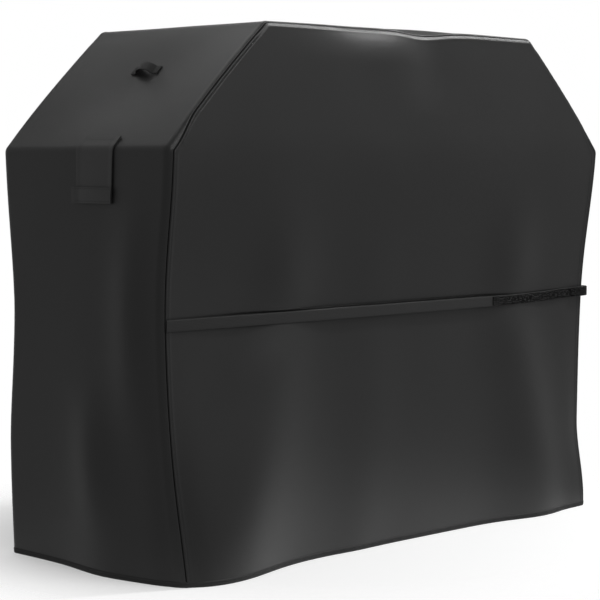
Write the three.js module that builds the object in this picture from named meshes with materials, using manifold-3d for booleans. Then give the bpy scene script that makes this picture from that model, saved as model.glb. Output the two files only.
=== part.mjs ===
// A fitted cloth cover for a gas grill, standing as it does over the grill.
// Millimetres, +Z up, origin on the floor at the middle of the cover. +X runs along the long side,
// -Y is the long side that carries the closing strap's loop tape.
//
// The cover is sewn from two flat cloth panels (front and rear) and one band of cloth that runs up
// the left wall, over the left slope, the top and the right slope, and down the right wall. The band
// is divided here at its folds, so that each wall is a plain sheet of its own.
// Every sheet is laid out on a straight prism first. drape() then moves its points to where the
// weight of the cloth and the pull of the strap bring them, so all pieces stay on one surface.

import * as THREE from "three";
import { mergeVertices } from "three/addons/utils/BufferGeometryUtils.js";
import Module from "manifold-3d";

const wasm = await Module();
wasm.setup();

// ---- Driving dimensions ------------------------------------------------------------------------

const HEIGHT = 1210; // floor to the flat top
const SHOULDER_Z = 933; // floor to the fold between wall and slope
const HALF_WIDTH = 749; // middle to the side walls, at the shoulder
const RIDGE_HALF_WIDTH = 461; // middle to the fold between slope and top
const HALF_DEPTH = 286; // middle to the front and rear panels
const FOLD_RADIUS = 22; // soft folds of the band at shoulder and ridge
const EDGE_RADIUS = 18; // soft edge where a panel turns into the band
const SEAM = 14; // the band turns that edge, and its seam lies this far in on the panel
const CLOTH = 3; // coated cloth with its turned seams, as one sheet
const GAP = 0.4; // space between pieces that touch

const HEM_HEIGHT = 12;
const HEM_OUT = 1; // the hem binding stands this far outside the cloth
const HEM_IN = 4; // and reaches this far inside

const STRAP_Z = 557; // middle of the closing strap
const STRAP_WIDTH = 25;
const WEBBING = 2; // thickness of strap and handle webbing
const TAPE = 1.2; // thickness of hook or loop tape
const TAPE_WIDTH = 23;
const LOOP_TAPE_START_X = 347;
const FRONT_TAIL_LENGTH = 228;
const REAR_TAIL_LENGTH = 414;
const HOOK_TAPE_LENGTH = 105; // at the rear tail's end

const FLAP_WIDTH = 122;
const FLAP_Y = -46; // middle of each flap and of the vent beneath it
const FLAP_DROP = 118; // shoulder to the flap's lower edge
const FLAP_ON_SLOPE = 33; // shoulder to the flap's sewn upper edge
const FLAP_SEWN_EDGE = 9;
const FLAP_BAND = 34; // height of the band along the flap's lower edge
const VENT_WIDTH = 90;
const VENT_LOW_Z = 835;
const VENT_HIGH_Z = 906;
const VENT_MARGIN = 12; // the mesh reaches this far past its window
const MESH = 1.5;

const HANDLE_LENGTH = 97;
const HANDLE_SPAN = 51; // clear width under the handle's arch
const HANDLE_RISE = 20;
const HANDLE_WIDTH = 26;
const HANDLE_UP_SLOPE = 256; // shoulder to the handle, along the slope

const FRONT_PULL = 38; // how far the strap draws the front panel in
const REAR_PULL = 20;

// ---- The straight prism ------------------------------------------------------------------------

const slope = Math.atan2(HEIGHT - SHOULDER_Z, HALF_WIDTH - RIDGE_HALF_WIDTH);
const SIN = Math.sin(slope);
const COS = Math.cos(slope);

// Centres of the two soft folds, on the right-hand side, as (x, z).
const shoulderCentre = {
  x: HALF_WIDTH - FOLD_RADIUS,
  z: SHOULDER_Z - (FOLD_RADIUS * (1 - SIN)) / COS,
};
const ridgeCentre = {
  x: HALF_WIDTH - ((HEIGHT - FOLD_RADIUS - SHOULDER_Z) * COS + FOLD_RADIUS) / SIN,
  z: HEIGHT - FOLD_RADIUS,
};

// The soft edge, seen across it: the panel turns by SEAM_TURN up to the seam, the band by BAND_TURN.
const SEAM_TURN = Math.asin((EDGE_RADIUS - SEAM) / EDGE_RADIUS);
const BAND_TURN = Math.PI / 2 - SEAM_TURN;
const FLAT_HALF_DEPTH = HALF_DEPTH - EDGE_RADIUS;
const BAND_HALF = FLAT_HALF_DEPTH + EDGE_RADIUS * BAND_TURN; // cloth from the band's middle to its seam

// Half width of the prism's outline at height z, moved inwards by inset.
function halfWidth(z, inset) {
  const rho = FOLD_RADIUS - inset;
  const leaves = { x: shoulderCentre.x + rho * SIN, z: shoulderCentre.z + rho * COS };
  if (z <= shoulderCentre.z) return HALF_WIDTH - inset;
  if (z <= leaves.z) return shoulderCentre.x + Math.sqrt(rho ** 2 - (z - shoulderCentre.z) ** 2);
  if (z <= ridgeCentre.z + rho * COS) return leaves.x - ((z - leaves.z) * COS) / SIN;
  return ridgeCentre.x + Math.sqrt(Math.max(0, rho ** 2 - (z - ridgeCentre.z) ** 2));
}

// Nearest point to (x, z) on the line from (x0, z0) to (x1, z1).
function nearestOnLine(x, z, x0, z0, x1, z1) {
  const dx = x1 - x0;
  const dz = z1 - z0;
  const t = Math.min(1, Math.max(0, ((x - x0) * dx + (z - z0) * dz) / (dx * dx + dz * dz)));
  return { x: x0 + t * dx, z: z0 + t * dz };
}

// Distance from a point of the front view to the outline, and the outline's outward normal there.
function fromOutline(x, z) {
  const side = x < 0 ? -1 : 1;
  const ax = Math.abs(x);
  const lines = [
    [shoulderCentre.x, 0, shoulderCentre.x, shoulderCentre.z],
    [shoulderCentre.x, shoulderCentre.z, ridgeCentre.x, ridgeCentre.z],
    [ridgeCentre.x, ridgeCentre.z, 0, ridgeCentre.z],
  ];
  let best = { distance: Infinity, nx: 0, nz: 0 };
  for (const line of lines) {
    const q = nearestOnLine(ax, z, ...line);
    const distance = Math.hypot(ax - q.x, z - q.z);
    if (distance < best.distance) {
      best = { distance, nx: (side * (ax - q.x)) / distance, nz: (z - q.z) / distance };
    }
  }
  const inside = ax <= shoulderCentre.x && z <= ridgeCentre.z
    && (ax - shoulderCentre.x) * SIN + (z - shoulderCentre.z) * COS <= 0;
  return inside ? { depth: Infinity } : { depth: FOLD_RADIUS - best.distance, ...best };
}

// A point of the front (side -1) or rear (side 1) panel before draping, with its outward normal.
function onPanel(side, x, z) {
  const edge = fromOutline(x, z);
  if (edge.depth >= EDGE_RADIUS) {
    return { p: new THREE.Vector3(x, side * HALF_DEPTH, z), n: new THREE.Vector3(0, side, 0) };
  }
  const sine = (EDGE_RADIUS - edge.depth) / EDGE_RADIUS;
  const cosine = Math.sqrt(1 - sine * sine);
  const y = side * (HALF_DEPTH - EDGE_RADIUS * (1 - cosine));
  const n = new THREE.Vector3(edge.nx * sine, side * cosine, edge.nz * sine);
  return { p: new THREE.Vector3(x, y, z), n };
}

// A point of the band before draping: at is a point of the outline with its normal, and w is the
// length of cloth from the band's middle. Past the flat part the cloth turns the soft edge.
function onBand(at, w) {
  const side = Math.sign(w);
  const turn = Math.max(0, (Math.abs(w) - FLAT_HALF_DEPTH) / EDGE_RADIUS);
  const sine = Math.sin(turn);
  const cosine = Math.cos(turn);
  const y = side * (Math.min(Math.abs(w), FLAT_HALF_DEPTH) + EDGE_RADIUS * sine);
  const drop = EDGE_RADIUS * (1 - cosine);
  const p = new THREE.Vector3(at.x - at.nx * drop, y, at.z - at.nz * drop);
  const n = new THREE.Vector3(at.nx * cosine, side * sine, at.nz * cosine);
  return { p, n };
}

// Points of the band's outline on one side (-1 left, 1 right).
const onWall = (side, z) => ({ x: side * HALF_WIDTH, z, nx: side, nz: 0 });

function onArc(side, centre, angle) {
  const nx = Math.cos(angle);
  const nz = Math.sin(angle);
  return {
    x: side * (centre.x + FOLD_RADIUS * nx),
    z: centre.z + FOLD_RADIUS * nz,
    nx: side * nx,
    nz,
  };
}

// along runs from the shoulder's fold to the ridge's fold in millimetres.
const SLOPE_NORMAL = Math.PI / 2 - slope;
const SLOPE_LENGTH = Math.hypot(
  ridgeCentre.x - shoulderCentre.x,
  ridgeCentre.z - shoulderCentre.z,
);
function onSlope(side, along) {
  const start = onArc(side, shoulderCentre, SLOPE_NORMAL);
  return { ...start, x: start.x - side * along * COS, z: start.z + along * SIN };
}

const onTop = (x) => ({ x, z: HEIGHT, nx: 0, nz: 1 });

// ---- How the cloth hangs -----------------------------------------------------------------------

const clamp01 = (t) => Math.min(1, Math.max(0, t));
const smooth = (t) => clamp01(t) ** 2 * (3 - 2 * clamp01(t));
const bump = (t, centre, width) => Math.exp(-(((t - centre) / width) ** 2));

// 1 at the strap, fading to 0 at the shoulder and at the hem.
function waist(z) {
  if (z < STRAP_Z) return (1 + Math.cos((Math.PI * (STRAP_Z - z)) / STRAP_Z)) / 2;
  const t = Math.min(1.1, (z - STRAP_Z) / (SHOULDER_Z - STRAP_Z)) / 1.1;
  return (1 + Math.cos(Math.PI * t)) / 2;
}

// The strap presses the folds part of the way flat.
const PRESSED = 0.45;
const unpressed = (z) => 1 - PRESSED * bump(z, STRAP_Z, 70);

// Inward movement of one long panel: folds that spread towards the hem, hollow between them.
function panelPull(x, z, pull, folds) {
  const down = clamp01(z / STRAP_Z);
  const above = Math.cos((Math.PI / 2) * clamp01((z - STRAP_Z) / 340)) ** 2;
  let inward = folds.hollow * (1 - down) ** 1.5;
  for (const fold of folds.list) {
    const centre = fold.hemX + (fold.strapX - fold.hemX) * down;
    const width = fold.hemWidth + (90 - fold.hemWidth) * down;
    const height = fold.hemOut + (fold.strapOut - fold.hemOut) * down;
    inward -= height * bump(x, centre, width) * above;
  }
  return pull * waist(z) + inward * unpressed(z);
}

const FRONT_FOLDS = {
  hollow: 26,
  list: [
    { hemX: -615, strapX: -375, hemWidth: 190, hemOut: 60, strapOut: 16 },
    { hemX: -150, strapX: -60, hemWidth: 80, hemOut: 5, strapOut: 3 },
    { hemX: 535, strapX: 440, hemWidth: 130, hemOut: 34, strapOut: 15 },
  ],
};
const REAR_FOLDS = {
  hollow: 22,
  list: [
    { hemX: -500, strapX: -380, hemWidth: 150, hemOut: 40, strapOut: 10 },
    { hemX: 590, strapX: 420, hemWidth: 180, hemOut: 55, strapOut: 14 },
  ],
};

// Inward movement of one side wall: it leans in towards the hem, and bulges out at the hem and in
// two places higher up. low and high are where a bulge ends.
const WALL_LEAN = 20;
function wallPull(y, z, wall) {
  const down = 1 - clamp01(z / SHOULDER_Z);
  let inward = down * WALL_LEAN - wall.hem.out * bump(y, wall.hem.y, wall.hem.width) * down ** 3;
  for (const bulge of wall.bulges) {
    const rise = Math.sin(Math.PI * clamp01((z - bulge.low) / (bulge.high - bulge.low))) ** 2;
    inward -= bulge.out * bump(y, bulge.y, bulge.width) * rise;
  }
  return inward;
}

const LEFT_WALL = {
  hem: { y: -50, width: 130, out: 26 },
  bulges: [
    { y: -172, width: 62, out: 14, low: 210, high: 930 },
    { y: -18, width: 62, out: 12, low: 40, high: 470 },
  ],
};
const RIGHT_WALL = {
  hem: { y: 40, width: 140, out: 26 },
  bulges: [
    { y: -20, width: 80, out: 9, low: 400, high: 900 },
    { y: -110, width: 80, out: 9, low: 60, high: 440 },
  ],
};

// The front edge of the top stands a little high, and dips right of the middle, over a short depth.
const EDGE_LIFT = 2;
const DIP_X = 70;
const DIP = 9;
const DIP_DEPTH = 62;
const dip = (x) => DIP * bump(x, DIP_X, 80);
const edgeLift = (x) => EDGE_LIFT * (1 - clamp01(Math.abs(x) / RIDGE_HALF_WIDTH) ** 2);

const SLOPE_SAG = 8; // in the middle of each slope
const SLOPE_CROWN = 3; // and the opposite way beside its seams

// The front panel leans back just below the top, left of the sag.
const LEAN = 17;
const LEAN_X = -100;
const LEAN_FROM = 1120;

// Where the lower corners go: x and y name the corner, outX and outY are its movement outwards,
// in full below low and none above high.
const CORNERS = [
  { x: -1, y: -1, outX: -15, outY: -15, reach: 55, low: 0, high: 650 },
  { x: 1, y: -1, outX: -15, outY: -15, reach: 55, low: 0, high: 650 },
  { x: 1, y: -1, outX: 12, outY: 24, reach: 70, low: 0, high: 230 },
  { x: -1, y: 1, outX: 0, outY: 26, reach: 110, low: 250, high: 600 },
  { x: 1, y: 1, outX: -15, outY: -15, reach: 55, low: 0, high: 650 },
];

function drape(p) {
  const across = clamp01((p.x + HALF_WIDTH) / (2 * HALF_WIDTH));
  const along = clamp01((p.y + HALF_DEPTH) / (2 * HALF_DEPTH));
  const front = panelPull(p.x, p.z, FRONT_PULL, FRONT_FOLDS);
  const rear = panelPull(p.x, p.z, REAR_PULL, REAR_FOLDS);
  const left = wallPull(p.y, p.z, LEFT_WALL);
  const right = wallPull(p.y, p.z, RIGHT_WALL);
  const out = p.clone();
  out.y += (1 - along) * front - along * rear;
  out.x += (1 - across) * left - across * right;

  const high = smooth((p.z - 1000) / 190);
  const atFront = 1 - smooth((p.y + HALF_DEPTH) / DIP_DEPTH);
  out.z += (edgeLift(p.x) - dip(p.x)) * high * atFront;
  out.y += dip(p.x) * high * atFront;
  const nearTop = clamp01((p.z - LEAN_FROM) / (HEIGHT - LEAN_FROM)) ** 2;
  out.y += LEAN * bump(p.x, LEAN_X, 190) * nearTop * atFront;

  const upSlope = Math.sin(Math.PI * clamp01((p.z - SHOULDER_Z) / (HEIGHT - SHOULDER_Z)));
  const outside = smooth((Math.abs(p.x) - RIDGE_HALF_WIDTH) / 40);
  const middle = Math.cos((Math.PI * p.y) / (2 * HALF_DEPTH)) ** 2;
  const sag = (SLOPE_SAG * upSlope ** 2 * middle - SLOPE_CROWN * upSlope * (1 - middle)) * outside;
  out.x -= Math.sign(p.x) * sag * SIN;
  out.z -= sag * COS;

  for (const corner of CORNERS) {
    const away = Math.hypot(p.x - corner.x * HALF_WIDTH, p.y - corner.y * HALF_DEPTH);
    const low = 1 - smooth((p.z - corner.low) / (corner.high - corner.low));
    const near = bump(away, 0, corner.reach) * low;
    out.x += corner.x * corner.outX * near;
    out.y += corner.y * corner.outY * near;
  }
  return out;
}

// ---- Making solids -----------------------------------------------------------------------------

const signedVolume = (positions, faces) => faces.reduce((sum, [a, b, c]) => (
  sum + positions[a].dot(new THREE.Vector3().crossVectors(positions[b], positions[c])) / 6
), 0);

function geometryOf(positions, faces) {
  const outward = signedVolume(positions, faces) > 0;
  const index = faces.flatMap(([a, b, c]) => (outward ? [a, b, c] : [a, c, b]));
  const geometry = new THREE.BufferGeometry().setFromPoints(positions);
  geometry.setIndex(index);
  return geometry;
}

// A closed sheet: grid is rows of {p, n}, low and high are the distances of its two faces from the
// draped surface. Each may be a number or a function of (row, column). A taut point isn't draped.
function sheet(grid, low, high) {
  const rows = grid.length;
  const columns = grid[0].length;
  const value = (v, i, j) => (typeof v === "function" ? v(i, j) : v);
  const positions = [];
  for (const side of [high, low]) {
    grid.forEach((row, i) => row.forEach(({ p, n, taut }, j) => {
      const at = taut ? p.clone() : drape(p);
      positions.push(at.addScaledVector(n, value(side, i, j)));
    }));
  }
  const at = (layer, i, j) => layer * rows * columns + i * columns + j;
  const faces = [];
  const quad = (a, b, c, d) => faces.push([a, b, c], [a, c, d]);
  for (let i = 0; i + 1 < rows; i += 1) {
    for (let j = 0; j + 1 < columns; j += 1) {
      quad(at(0, i, j), at(0, i, j + 1), at(0, i + 1, j + 1), at(0, i + 1, j));
      quad(at(1, i, j), at(1, i + 1, j), at(1, i + 1, j + 1), at(1, i, j + 1));
    }
  }
  for (let j = 0; j + 1 < columns; j += 1) {
    quad(at(0, 0, j + 1), at(0, 0, j), at(1, 0, j), at(1, 0, j + 1));
    quad(at(0, rows - 1, j), at(0, rows - 1, j + 1), at(1, rows - 1, j + 1), at(1, rows - 1, j));
  }
  for (let i = 0; i + 1 < rows; i += 1) {
    quad(at(0, i, 0), at(0, i + 1, 0), at(1, i + 1, 0), at(1, i, 0));
    const last = columns - 1;
    quad(at(0, i + 1, last), at(0, i, last), at(1, i, last), at(1, i + 1, last));
  }
  return geometryOf(positions, faces);
}

function toManifold(geometry) {
  const bare = geometry.clone();
  bare.deleteAttribute("normal");
  bare.deleteAttribute("uv");
  const merged = mergeVertices(bare, 1e-3);
  return new wasm.Manifold(new wasm.Mesh({
    numProp: 3,
    vertProperties: new Float32Array(merged.attributes.position.array),
    triVerts: new Uint32Array(merged.index.array),
  }));
}

function cutAway(geometry, tool) {
  const mesh = toManifold(geometry).subtract(toManifold(tool)).getMesh();
  const cut = new THREE.BufferGeometry();
  cut.setAttribute("position", new THREE.BufferAttribute(mesh.vertProperties, 3));
  cut.setIndex(new THREE.BufferAttribute(mesh.triVerts, 1));
  return cut;
}

const cover = new THREE.Group();

const finishes = {
  cloth: { color: 0x2b2b2c, roughness: 0.55, metalness: 0 },
  binding: { color: 0x242425, roughness: 0.6, metalness: 0 },
  webbing: { color: 0x232324, roughness: 0.7, metalness: 0 },
  hookAndLoop: { color: 0x0b0b0c, roughness: 0.9, metalness: 0 },
  mesh: { color: 0x131314, roughness: 0.8, metalness: 0 },
  label: { color: 0xd8d8d4, roughness: 0.6, metalness: 0 },
};

function add(name, geometry, finish) {
  const material = new THREE.MeshStandardMaterial(finishes[finish]);
  const mesh = new THREE.Mesh(geometry, material);
  mesh.name = name;
  mesh.geometry.computeVertexNormals();
  cover.add(mesh);
  return mesh;
}

// ---- Rows and columns shared by the sheets -----------------------------------------------------

const range = (from, to, steps) => (
  Array.from({ length: steps + 1 }, (_, i) => from + ((to - from) * i) / steps)
);
const HALF_STRAP = STRAP_WIDTH / 2 + 4;
const wallHeights = [
  HEM_HEIGHT + GAP, 70, 150, 235, 320, 400, 470,
  STRAP_Z - HALF_STRAP, STRAP_Z + HALF_STRAP,
  640, 710, 780, 850, shoulderCentre.z,
];
const arcAngles = range(0, SLOPE_NORMAL, 2);
const slopeSteps = range(0, SLOPE_LENGTH, 5);
const CROWN = HEIGHT - SEAM - GAP / 2; // upper edge of the panels

// Columns from one seam to the other, close together at the soft edges. Insets are measured from
// the seam.
function columns(half, insets, middle) {
  const inner = half - insets.at(-1);
  const right = insets.map((inset) => half - inset);
  return [
    -half, ...right.map((c) => -c),
    ...range(-inner, inner, middle).slice(1, -1),
    ...right.reverse(), half,
  ];
}
const panelInsets = [EDGE_RADIUS - SEAM, 40, 75, 125];
const BAND_ARC = EDGE_RADIUS * BAND_TURN;
const bandInsets = [BAND_ARC / 3, (2 * BAND_ARC) / 3, BAND_ARC, 60, 125];
const bandColumns = columns(BAND_HALF - GAP / 2, bandInsets, 4);

// ---- The shell ---------------------------------------------------------------------------------

// The panels share their rows with the band: height of the seam beside a point of the outline.
const seamHeight = (at) => at.z - at.nz * SEAM;
const panelHeights = [
  ...wallHeights,
  seamHeight(onArc(1, shoulderCentre, SLOPE_NORMAL / 2)),
  ...slopeSteps.map((along) => seamHeight(onSlope(1, along))),
  CROWN,
];
for (const [name, side] of [["front_panel", -1], ["rear_panel", 1]]) {
  const grid = panelHeights.map((z) => (
    columns(halfWidth(z, SEAM + GAP / 2), panelInsets, 12).map((x) => onPanel(side, x, z))
  ));
  add(name, sheet(grid, -CLOTH, 0), "cloth");
}

// The band's outline, divided at the middle of each fold.
const HALF_TURN = SLOPE_NORMAL / 2;
const SPLIT = GAP / 2 / FOLD_RADIUS; // half a gap as an angle round the fold
const HALF_PI = Math.PI / 2;
const RIDGE_MIDDLE = (SLOPE_NORMAL + HALF_PI) / 2;
const topColumns = columns(ridgeCentre.x, panelInsets, 12);

const wallOutline = (side) => [
  ...wallHeights.map((z) => onWall(side, z)),
  onArc(side, shoulderCentre, HALF_TURN - SPLIT),
];
const slopeOutline = (side) => [
  onArc(side, shoulderCentre, HALF_TURN + SPLIT),
  ...slopeSteps.map((along) => onSlope(side, along)),
  onArc(side, ridgeCentre, RIDGE_MIDDLE - SPLIT),
];
const topOutline = [
  onArc(-1, ridgeCentre, RIDGE_MIDDLE + SPLIT),
  ...topColumns.map(onTop),
  onArc(1, ridgeCentre, RIDGE_MIDDLE + SPLIT),
];
const bandSheet = (outline, ws) => outline.map((at) => ws.map((w) => onBand(at, w)));

const ventTool = (side) => (
  new THREE.BoxGeometry(200, VENT_WIDTH, VENT_HIGH_Z - VENT_LOW_Z)
    .translate(side * HALF_WIDTH, FLAP_Y, (VENT_HIGH_Z + VENT_LOW_Z) / 2)
);
for (const [name, side] of [["left", -1], ["right", 1]]) {
  const wall = sheet(bandSheet(wallOutline(side), bandColumns), -CLOTH, 0);
  add(`${name}_wall`, cutAway(wall, ventTool(side)), "cloth");
  add(`${name}_slope`, sheet(bandSheet(slopeOutline(side), bandColumns), -CLOTH, 0), "cloth");
}
add("top_panel", sheet(bandSheet(topOutline, bandColumns), -CLOTH, 0), "cloth");

// ---- The hem binding, in four lengths that meet at the seams ------------------------------------

const hemHeights = [0, HEM_HEIGHT];
for (const [name, side] of [["hem_front", -1], ["hem_rear", 1]]) {
  const grid = hemHeights.map((z) => (
    columns(HALF_WIDTH - SEAM - GAP / 2, panelInsets, 12).map((x) => onPanel(side, x, z))
  ));
  add(name, sheet(grid, -HEM_IN, HEM_OUT), "binding");
}
for (const [name, side] of [["hem_left", -1], ["hem_right", 1]]) {
  const grid = bandSheet(hemHeights.map((z) => onWall(side, z)), bandColumns);
  add(name, sheet(grid, -HEM_IN, HEM_OUT), "binding");
}

// ---- Inside: bound seam allowances and the care label -------------------------------------------

const BINDING_DEPTH = [5, 7]; // below the cloth's outer face
const wholeOutline = [
  ...wallHeights.map((z) => onWall(-1, z)),
  ...arcAngles.slice(1).map((angle) => onArc(-1, shoulderCentre, angle)),
  ...slopeSteps.slice(1, -1).map((along) => onSlope(-1, along)),
  onSlope(-1, SLOPE_LENGTH),
  onArc(-1, ridgeCentre, RIDGE_MIDDLE),
  ...topColumns.map(onTop),
  onArc(1, ridgeCentre, RIDGE_MIDDLE),
  onSlope(1, SLOPE_LENGTH),
  ...slopeSteps.slice(1, -1).reverse().map((along) => onSlope(1, along)),
  ...arcAngles.slice(1).reverse().map((angle) => onArc(1, shoulderCentre, angle)),
  ...[...wallHeights].reverse().map((z) => onWall(1, z)),
];
for (const [name, side] of [["front_seam_binding", -1], ["rear_seam_binding", 1]]) {
  const ws = [6, 13, 20].map((inset) => side * (BAND_HALF - inset));
  const grid = bandSheet(wholeOutline, ws);
  add(name, sheet(grid, -BINDING_DEPTH[1], -BINDING_DEPTH[0]), "binding");
}

const LABEL_DEPTH = 10; // below the cloth, clear of the hem binding
const LABEL = 1.4;
const labelGrid = [HEM_HEIGHT + 4, HEM_HEIGHT + 60].map((z) => (
  [-620, -585].map((x) => onPanel(1, x, z))
));
add("care_label", sheet(labelGrid, -LABEL_DEPTH - LABEL, -LABEL_DEPTH), "label");

// ---- The closing strap --------------------------------------------------------------------------

const STRAP_OFF = 1; // the strap lies this far off the cloth
const strapHeights = [STRAP_Z - STRAP_WIDTH / 2, STRAP_Z + STRAP_WIDTH / 2];
const tapeHeights = [STRAP_Z - TAPE_WIDTH / 2, STRAP_Z + TAPE_WIDTH / 2];
const strapStart = -HALF_WIDTH + SEAM + 2;
const strapEnd = HALF_WIDTH - 20;
const panels = [["front", -1, FRONT_FOLDS], ["rear", 1, REAR_FOLDS]];

// The strap is taut: it rests on the cloth at its ends and on the folds, and is straight between.
// Rows of points of its middle, from a place x to its end.
function tautStrap(side, folds, heights, from) {
  const touched = folds.list.filter((fold) => fold.strapOut > 5).map((fold) => fold.strapX);
  const rests = [strapStart, ...touched, strapEnd];
  const xs = [from, ...rests.filter((x) => x > from)];
  const k = rests.length - xs.length;
  return heights.map((z) => {
    const held = rests.map((x) => drape(onPanel(side, x, z).p));
    const t = (from - rests[k]) / (rests[k + 1] - rests[k]);
    const points = [held[k].clone().lerp(held[k + 1], t), ...held.slice(k + 1)];
    return points.map((p) => ({ p, n: new THREE.Vector3(0, side, 0), taut: true }));
  });
}

for (const [name, side, folds] of panels) {
  const grid = tautStrap(side, folds, strapHeights, strapStart);
  add(`${name}_strap`, sheet(grid, STRAP_OFF, STRAP_OFF + WEBBING), "webbing");
}
const TAPE_OFF = STRAP_OFF + WEBBING + 0.3;
const frontTape = tautStrap(-1, FRONT_FOLDS, tapeHeights, LOOP_TAPE_START_X);
add("front_loop_tape", sheet(frontTape, TAPE_OFF, TAPE_OFF + TAPE), "hookAndLoop");

// The two tails close on the right wall: the front one lies inside, loop tape outwards, and the
// rear one laps over it, hook tape inwards.
const FRONT_TAIL_OFF = 4;
const REAR_TAIL_OFF = FRONT_TAIL_OFF + WEBBING + 2 * TAPE + 1.1;
const TAIL_START = HALF_DEPTH - 24;
const frontEnd = -TAIL_START + FRONT_TAIL_LENGTH;
const rearEnd = TAIL_START - REAR_TAIL_LENGTH;
const overlapYs = range(rearEnd, rearEnd + HOOK_TAPE_LENGTH, 2);
const frontTailYs = [...range(-TAIL_START, rearEnd, 2).slice(0, -1), ...overlapYs, frontEnd];
const rearTailYs = [...range(TAIL_START, frontEnd, 5), ...[...overlapYs].reverse()];
const onRightWall = (heights, ys) => bandSheet(heights.map((z) => onWall(1, z)), ys);

add(
  "front_strap_tail",
  sheet(onRightWall(strapHeights, frontTailYs), FRONT_TAIL_OFF, FRONT_TAIL_OFF + WEBBING),
  "webbing",
);
const tailTapeOff = FRONT_TAIL_OFF + WEBBING + 0.3;
add(
  "front_tail_loop_tape",
  sheet(onRightWall(tapeHeights, frontTailYs), tailTapeOff, tailTapeOff + TAPE),
  "hookAndLoop",
);
add(
  "rear_strap_tail",
  sheet(onRightWall(strapHeights, rearTailYs), REAR_TAIL_OFF, REAR_TAIL_OFF + WEBBING),
  "webbing",
);
const hookOff = REAR_TAIL_OFF - 0.3 - TAPE;
add(
  "rear_tail_hook_tape",
  sheet(onRightWall(tapeHeights, overlapYs), hookOff, hookOff + TAPE),
  "hookAndLoop",
);

// ---- Vents: a mesh window in each wall under a hanging flap --------------------------------------

const FLAP = 2.4;
const FLAP_OFF = 1; // the flap's stand-off at its sewn edge
const FLAP_OFF_LOW = 8; // and where it hangs down the wall
const SHOULDER_ARC = FOLD_RADIUS * SLOPE_NORMAL; // length of the shoulder fold
const FLAP_TOP = FLAP_ON_SLOPE - SHOULDER_ARC / 2;
const FLAP_LOW_Z = SHOULDER_Z - FLAP_DROP;
const flapYs = range(FLAP_Y - FLAP_WIDTH / 2, FLAP_Y + FLAP_WIDTH / 2, 2);

for (const [name, side] of [["left", -1], ["right", 1]]) {
  const sewn = [FLAP_TOP, FLAP_TOP - FLAP_SEWN_EDGE].map((along) => onSlope(side, along));
  const sewnSheet = sheet(bandSheet(sewn, flapYs), FLAP_OFF, FLAP_OFF + FLAP);
  add(`${name}_flap_sewn_edge`, sewnSheet, "cloth");

  const flapOutline = [
    onSlope(side, FLAP_TOP - FLAP_SEWN_EDGE - 2),
    ...[...arcAngles].reverse().map((angle) => onArc(side, shoulderCentre, angle)),
    ...range(shoulderCentre.z - 20, FLAP_LOW_Z + FLAP_BAND, 2).map((z) => onWall(side, z)),
    onWall(side, FLAP_LOW_Z),
  ];
  const last = flapOutline.length - 1;
  const off = (i) => FLAP_OFF + (FLAP_OFF_LOW - FLAP_OFF) * smooth(i / (last - 1));
  const flap = sheet(bandSheet(flapOutline, flapYs), off, (i) => off(i) + FLAP);
  add(`${name}_vent_flap`, flap, "cloth");

  const bandHeights = [FLAP_LOW_Z + FLAP_BAND, FLAP_LOW_Z];
  const bandYs = [...flapYs, flapYs.at(-1) + 11];
  const bandOff = FLAP_OFF_LOW + FLAP + 0.4;
  const hemBand = sheet(
    bandSheet(bandHeights.map((z) => onWall(side, z)), bandYs),
    bandOff,
    bandOff + FLAP,
  );
  add(`${name}_flap_hem_band`, hemBand, "binding");

  const half = VENT_WIDTH / 2 + VENT_MARGIN;
  const meshOutline = [VENT_LOW_Z - VENT_MARGIN, VENT_HIGH_Z + VENT_MARGIN];
  const meshYs = range(FLAP_Y - half, FLAP_Y + half, 2);
  const meshGrid = bandSheet(meshOutline.map((z) => onWall(side, z)), meshYs);
  const meshSheet = sheet(meshGrid, -CLOTH - 1 - MESH, -CLOTH - 1);
  add(`${name}_vent_mesh`, meshSheet, "mesh");
}

// ---- Handles: a webbing arch on each slope ---------------------------------------------------------

function handleGeometry() {
  const half = HANDLE_LENGTH / 2;
  const inner = HANDLE_SPAN / 2;
  const outer = inner + WEBBING;
  const strip = new THREE.Shape();
  strip.moveTo(-half, 0);
  strip.lineTo(-inner, 0);
  strip.absellipse(0, 0, inner, HANDLE_RISE - WEBBING, Math.PI, 0, true);
  strip.lineTo(half, 0);
  strip.lineTo(half, WEBBING);
  const foot = Math.asin(WEBBING / HANDLE_RISE);
  strip.absellipse(0, 0, outer, HANDLE_RISE, foot, Math.PI - foot, false);
  strip.lineTo(-half, WEBBING);
  strip.closePath();
  const options = { depth: HANDLE_WIDTH, bevelEnabled: false, curveSegments: 12 };
  return new THREE.ExtrudeGeometry(strip, options).translate(0, 0, -HANDLE_WIDTH / 2);
}

const HANDLE_OFF = 3.4; // the tabs lie this far off the cloth, whose sag is shallower at their ends
for (const [name, side] of [["left_pull_handle", -1], ["right_pull_handle", 1]]) {
  const handle = add(name, handleGeometry(), "webbing");
  const at = onSlope(side, HANDLE_UP_SLOPE - SHOULDER_ARC / 2);
  const normal = new THREE.Vector3(at.nx, 0, at.nz);
  const along = new THREE.Vector3(0, side, 0);
  const up = new THREE.Vector3().crossVectors(along, normal);
  handle.setRotationFromMatrix(new THREE.Matrix4().makeBasis(along, normal, up));
  const seat = drape(new THREE.Vector3(at.x, 0, at.z));
  handle.position.copy(seat.addScaledVector(normal, HANDLE_OFF));
}

export default cover;
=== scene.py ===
"""Looks of a fitted gas grill cover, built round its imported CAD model.

The cover is coated polyester cloth: two long panels (front and rear) and one band of cloth that runs
up the left wall, over the slopes and the top, and down the right wall. Every sheet is laid out here
on the same straight prism as in the CAD source, and drape() moves it to where it hangs, so each piece
lies in the space of the CAD node that it replaces. Lengths are millimetres until a mesh is made.
"""

import math

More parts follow.
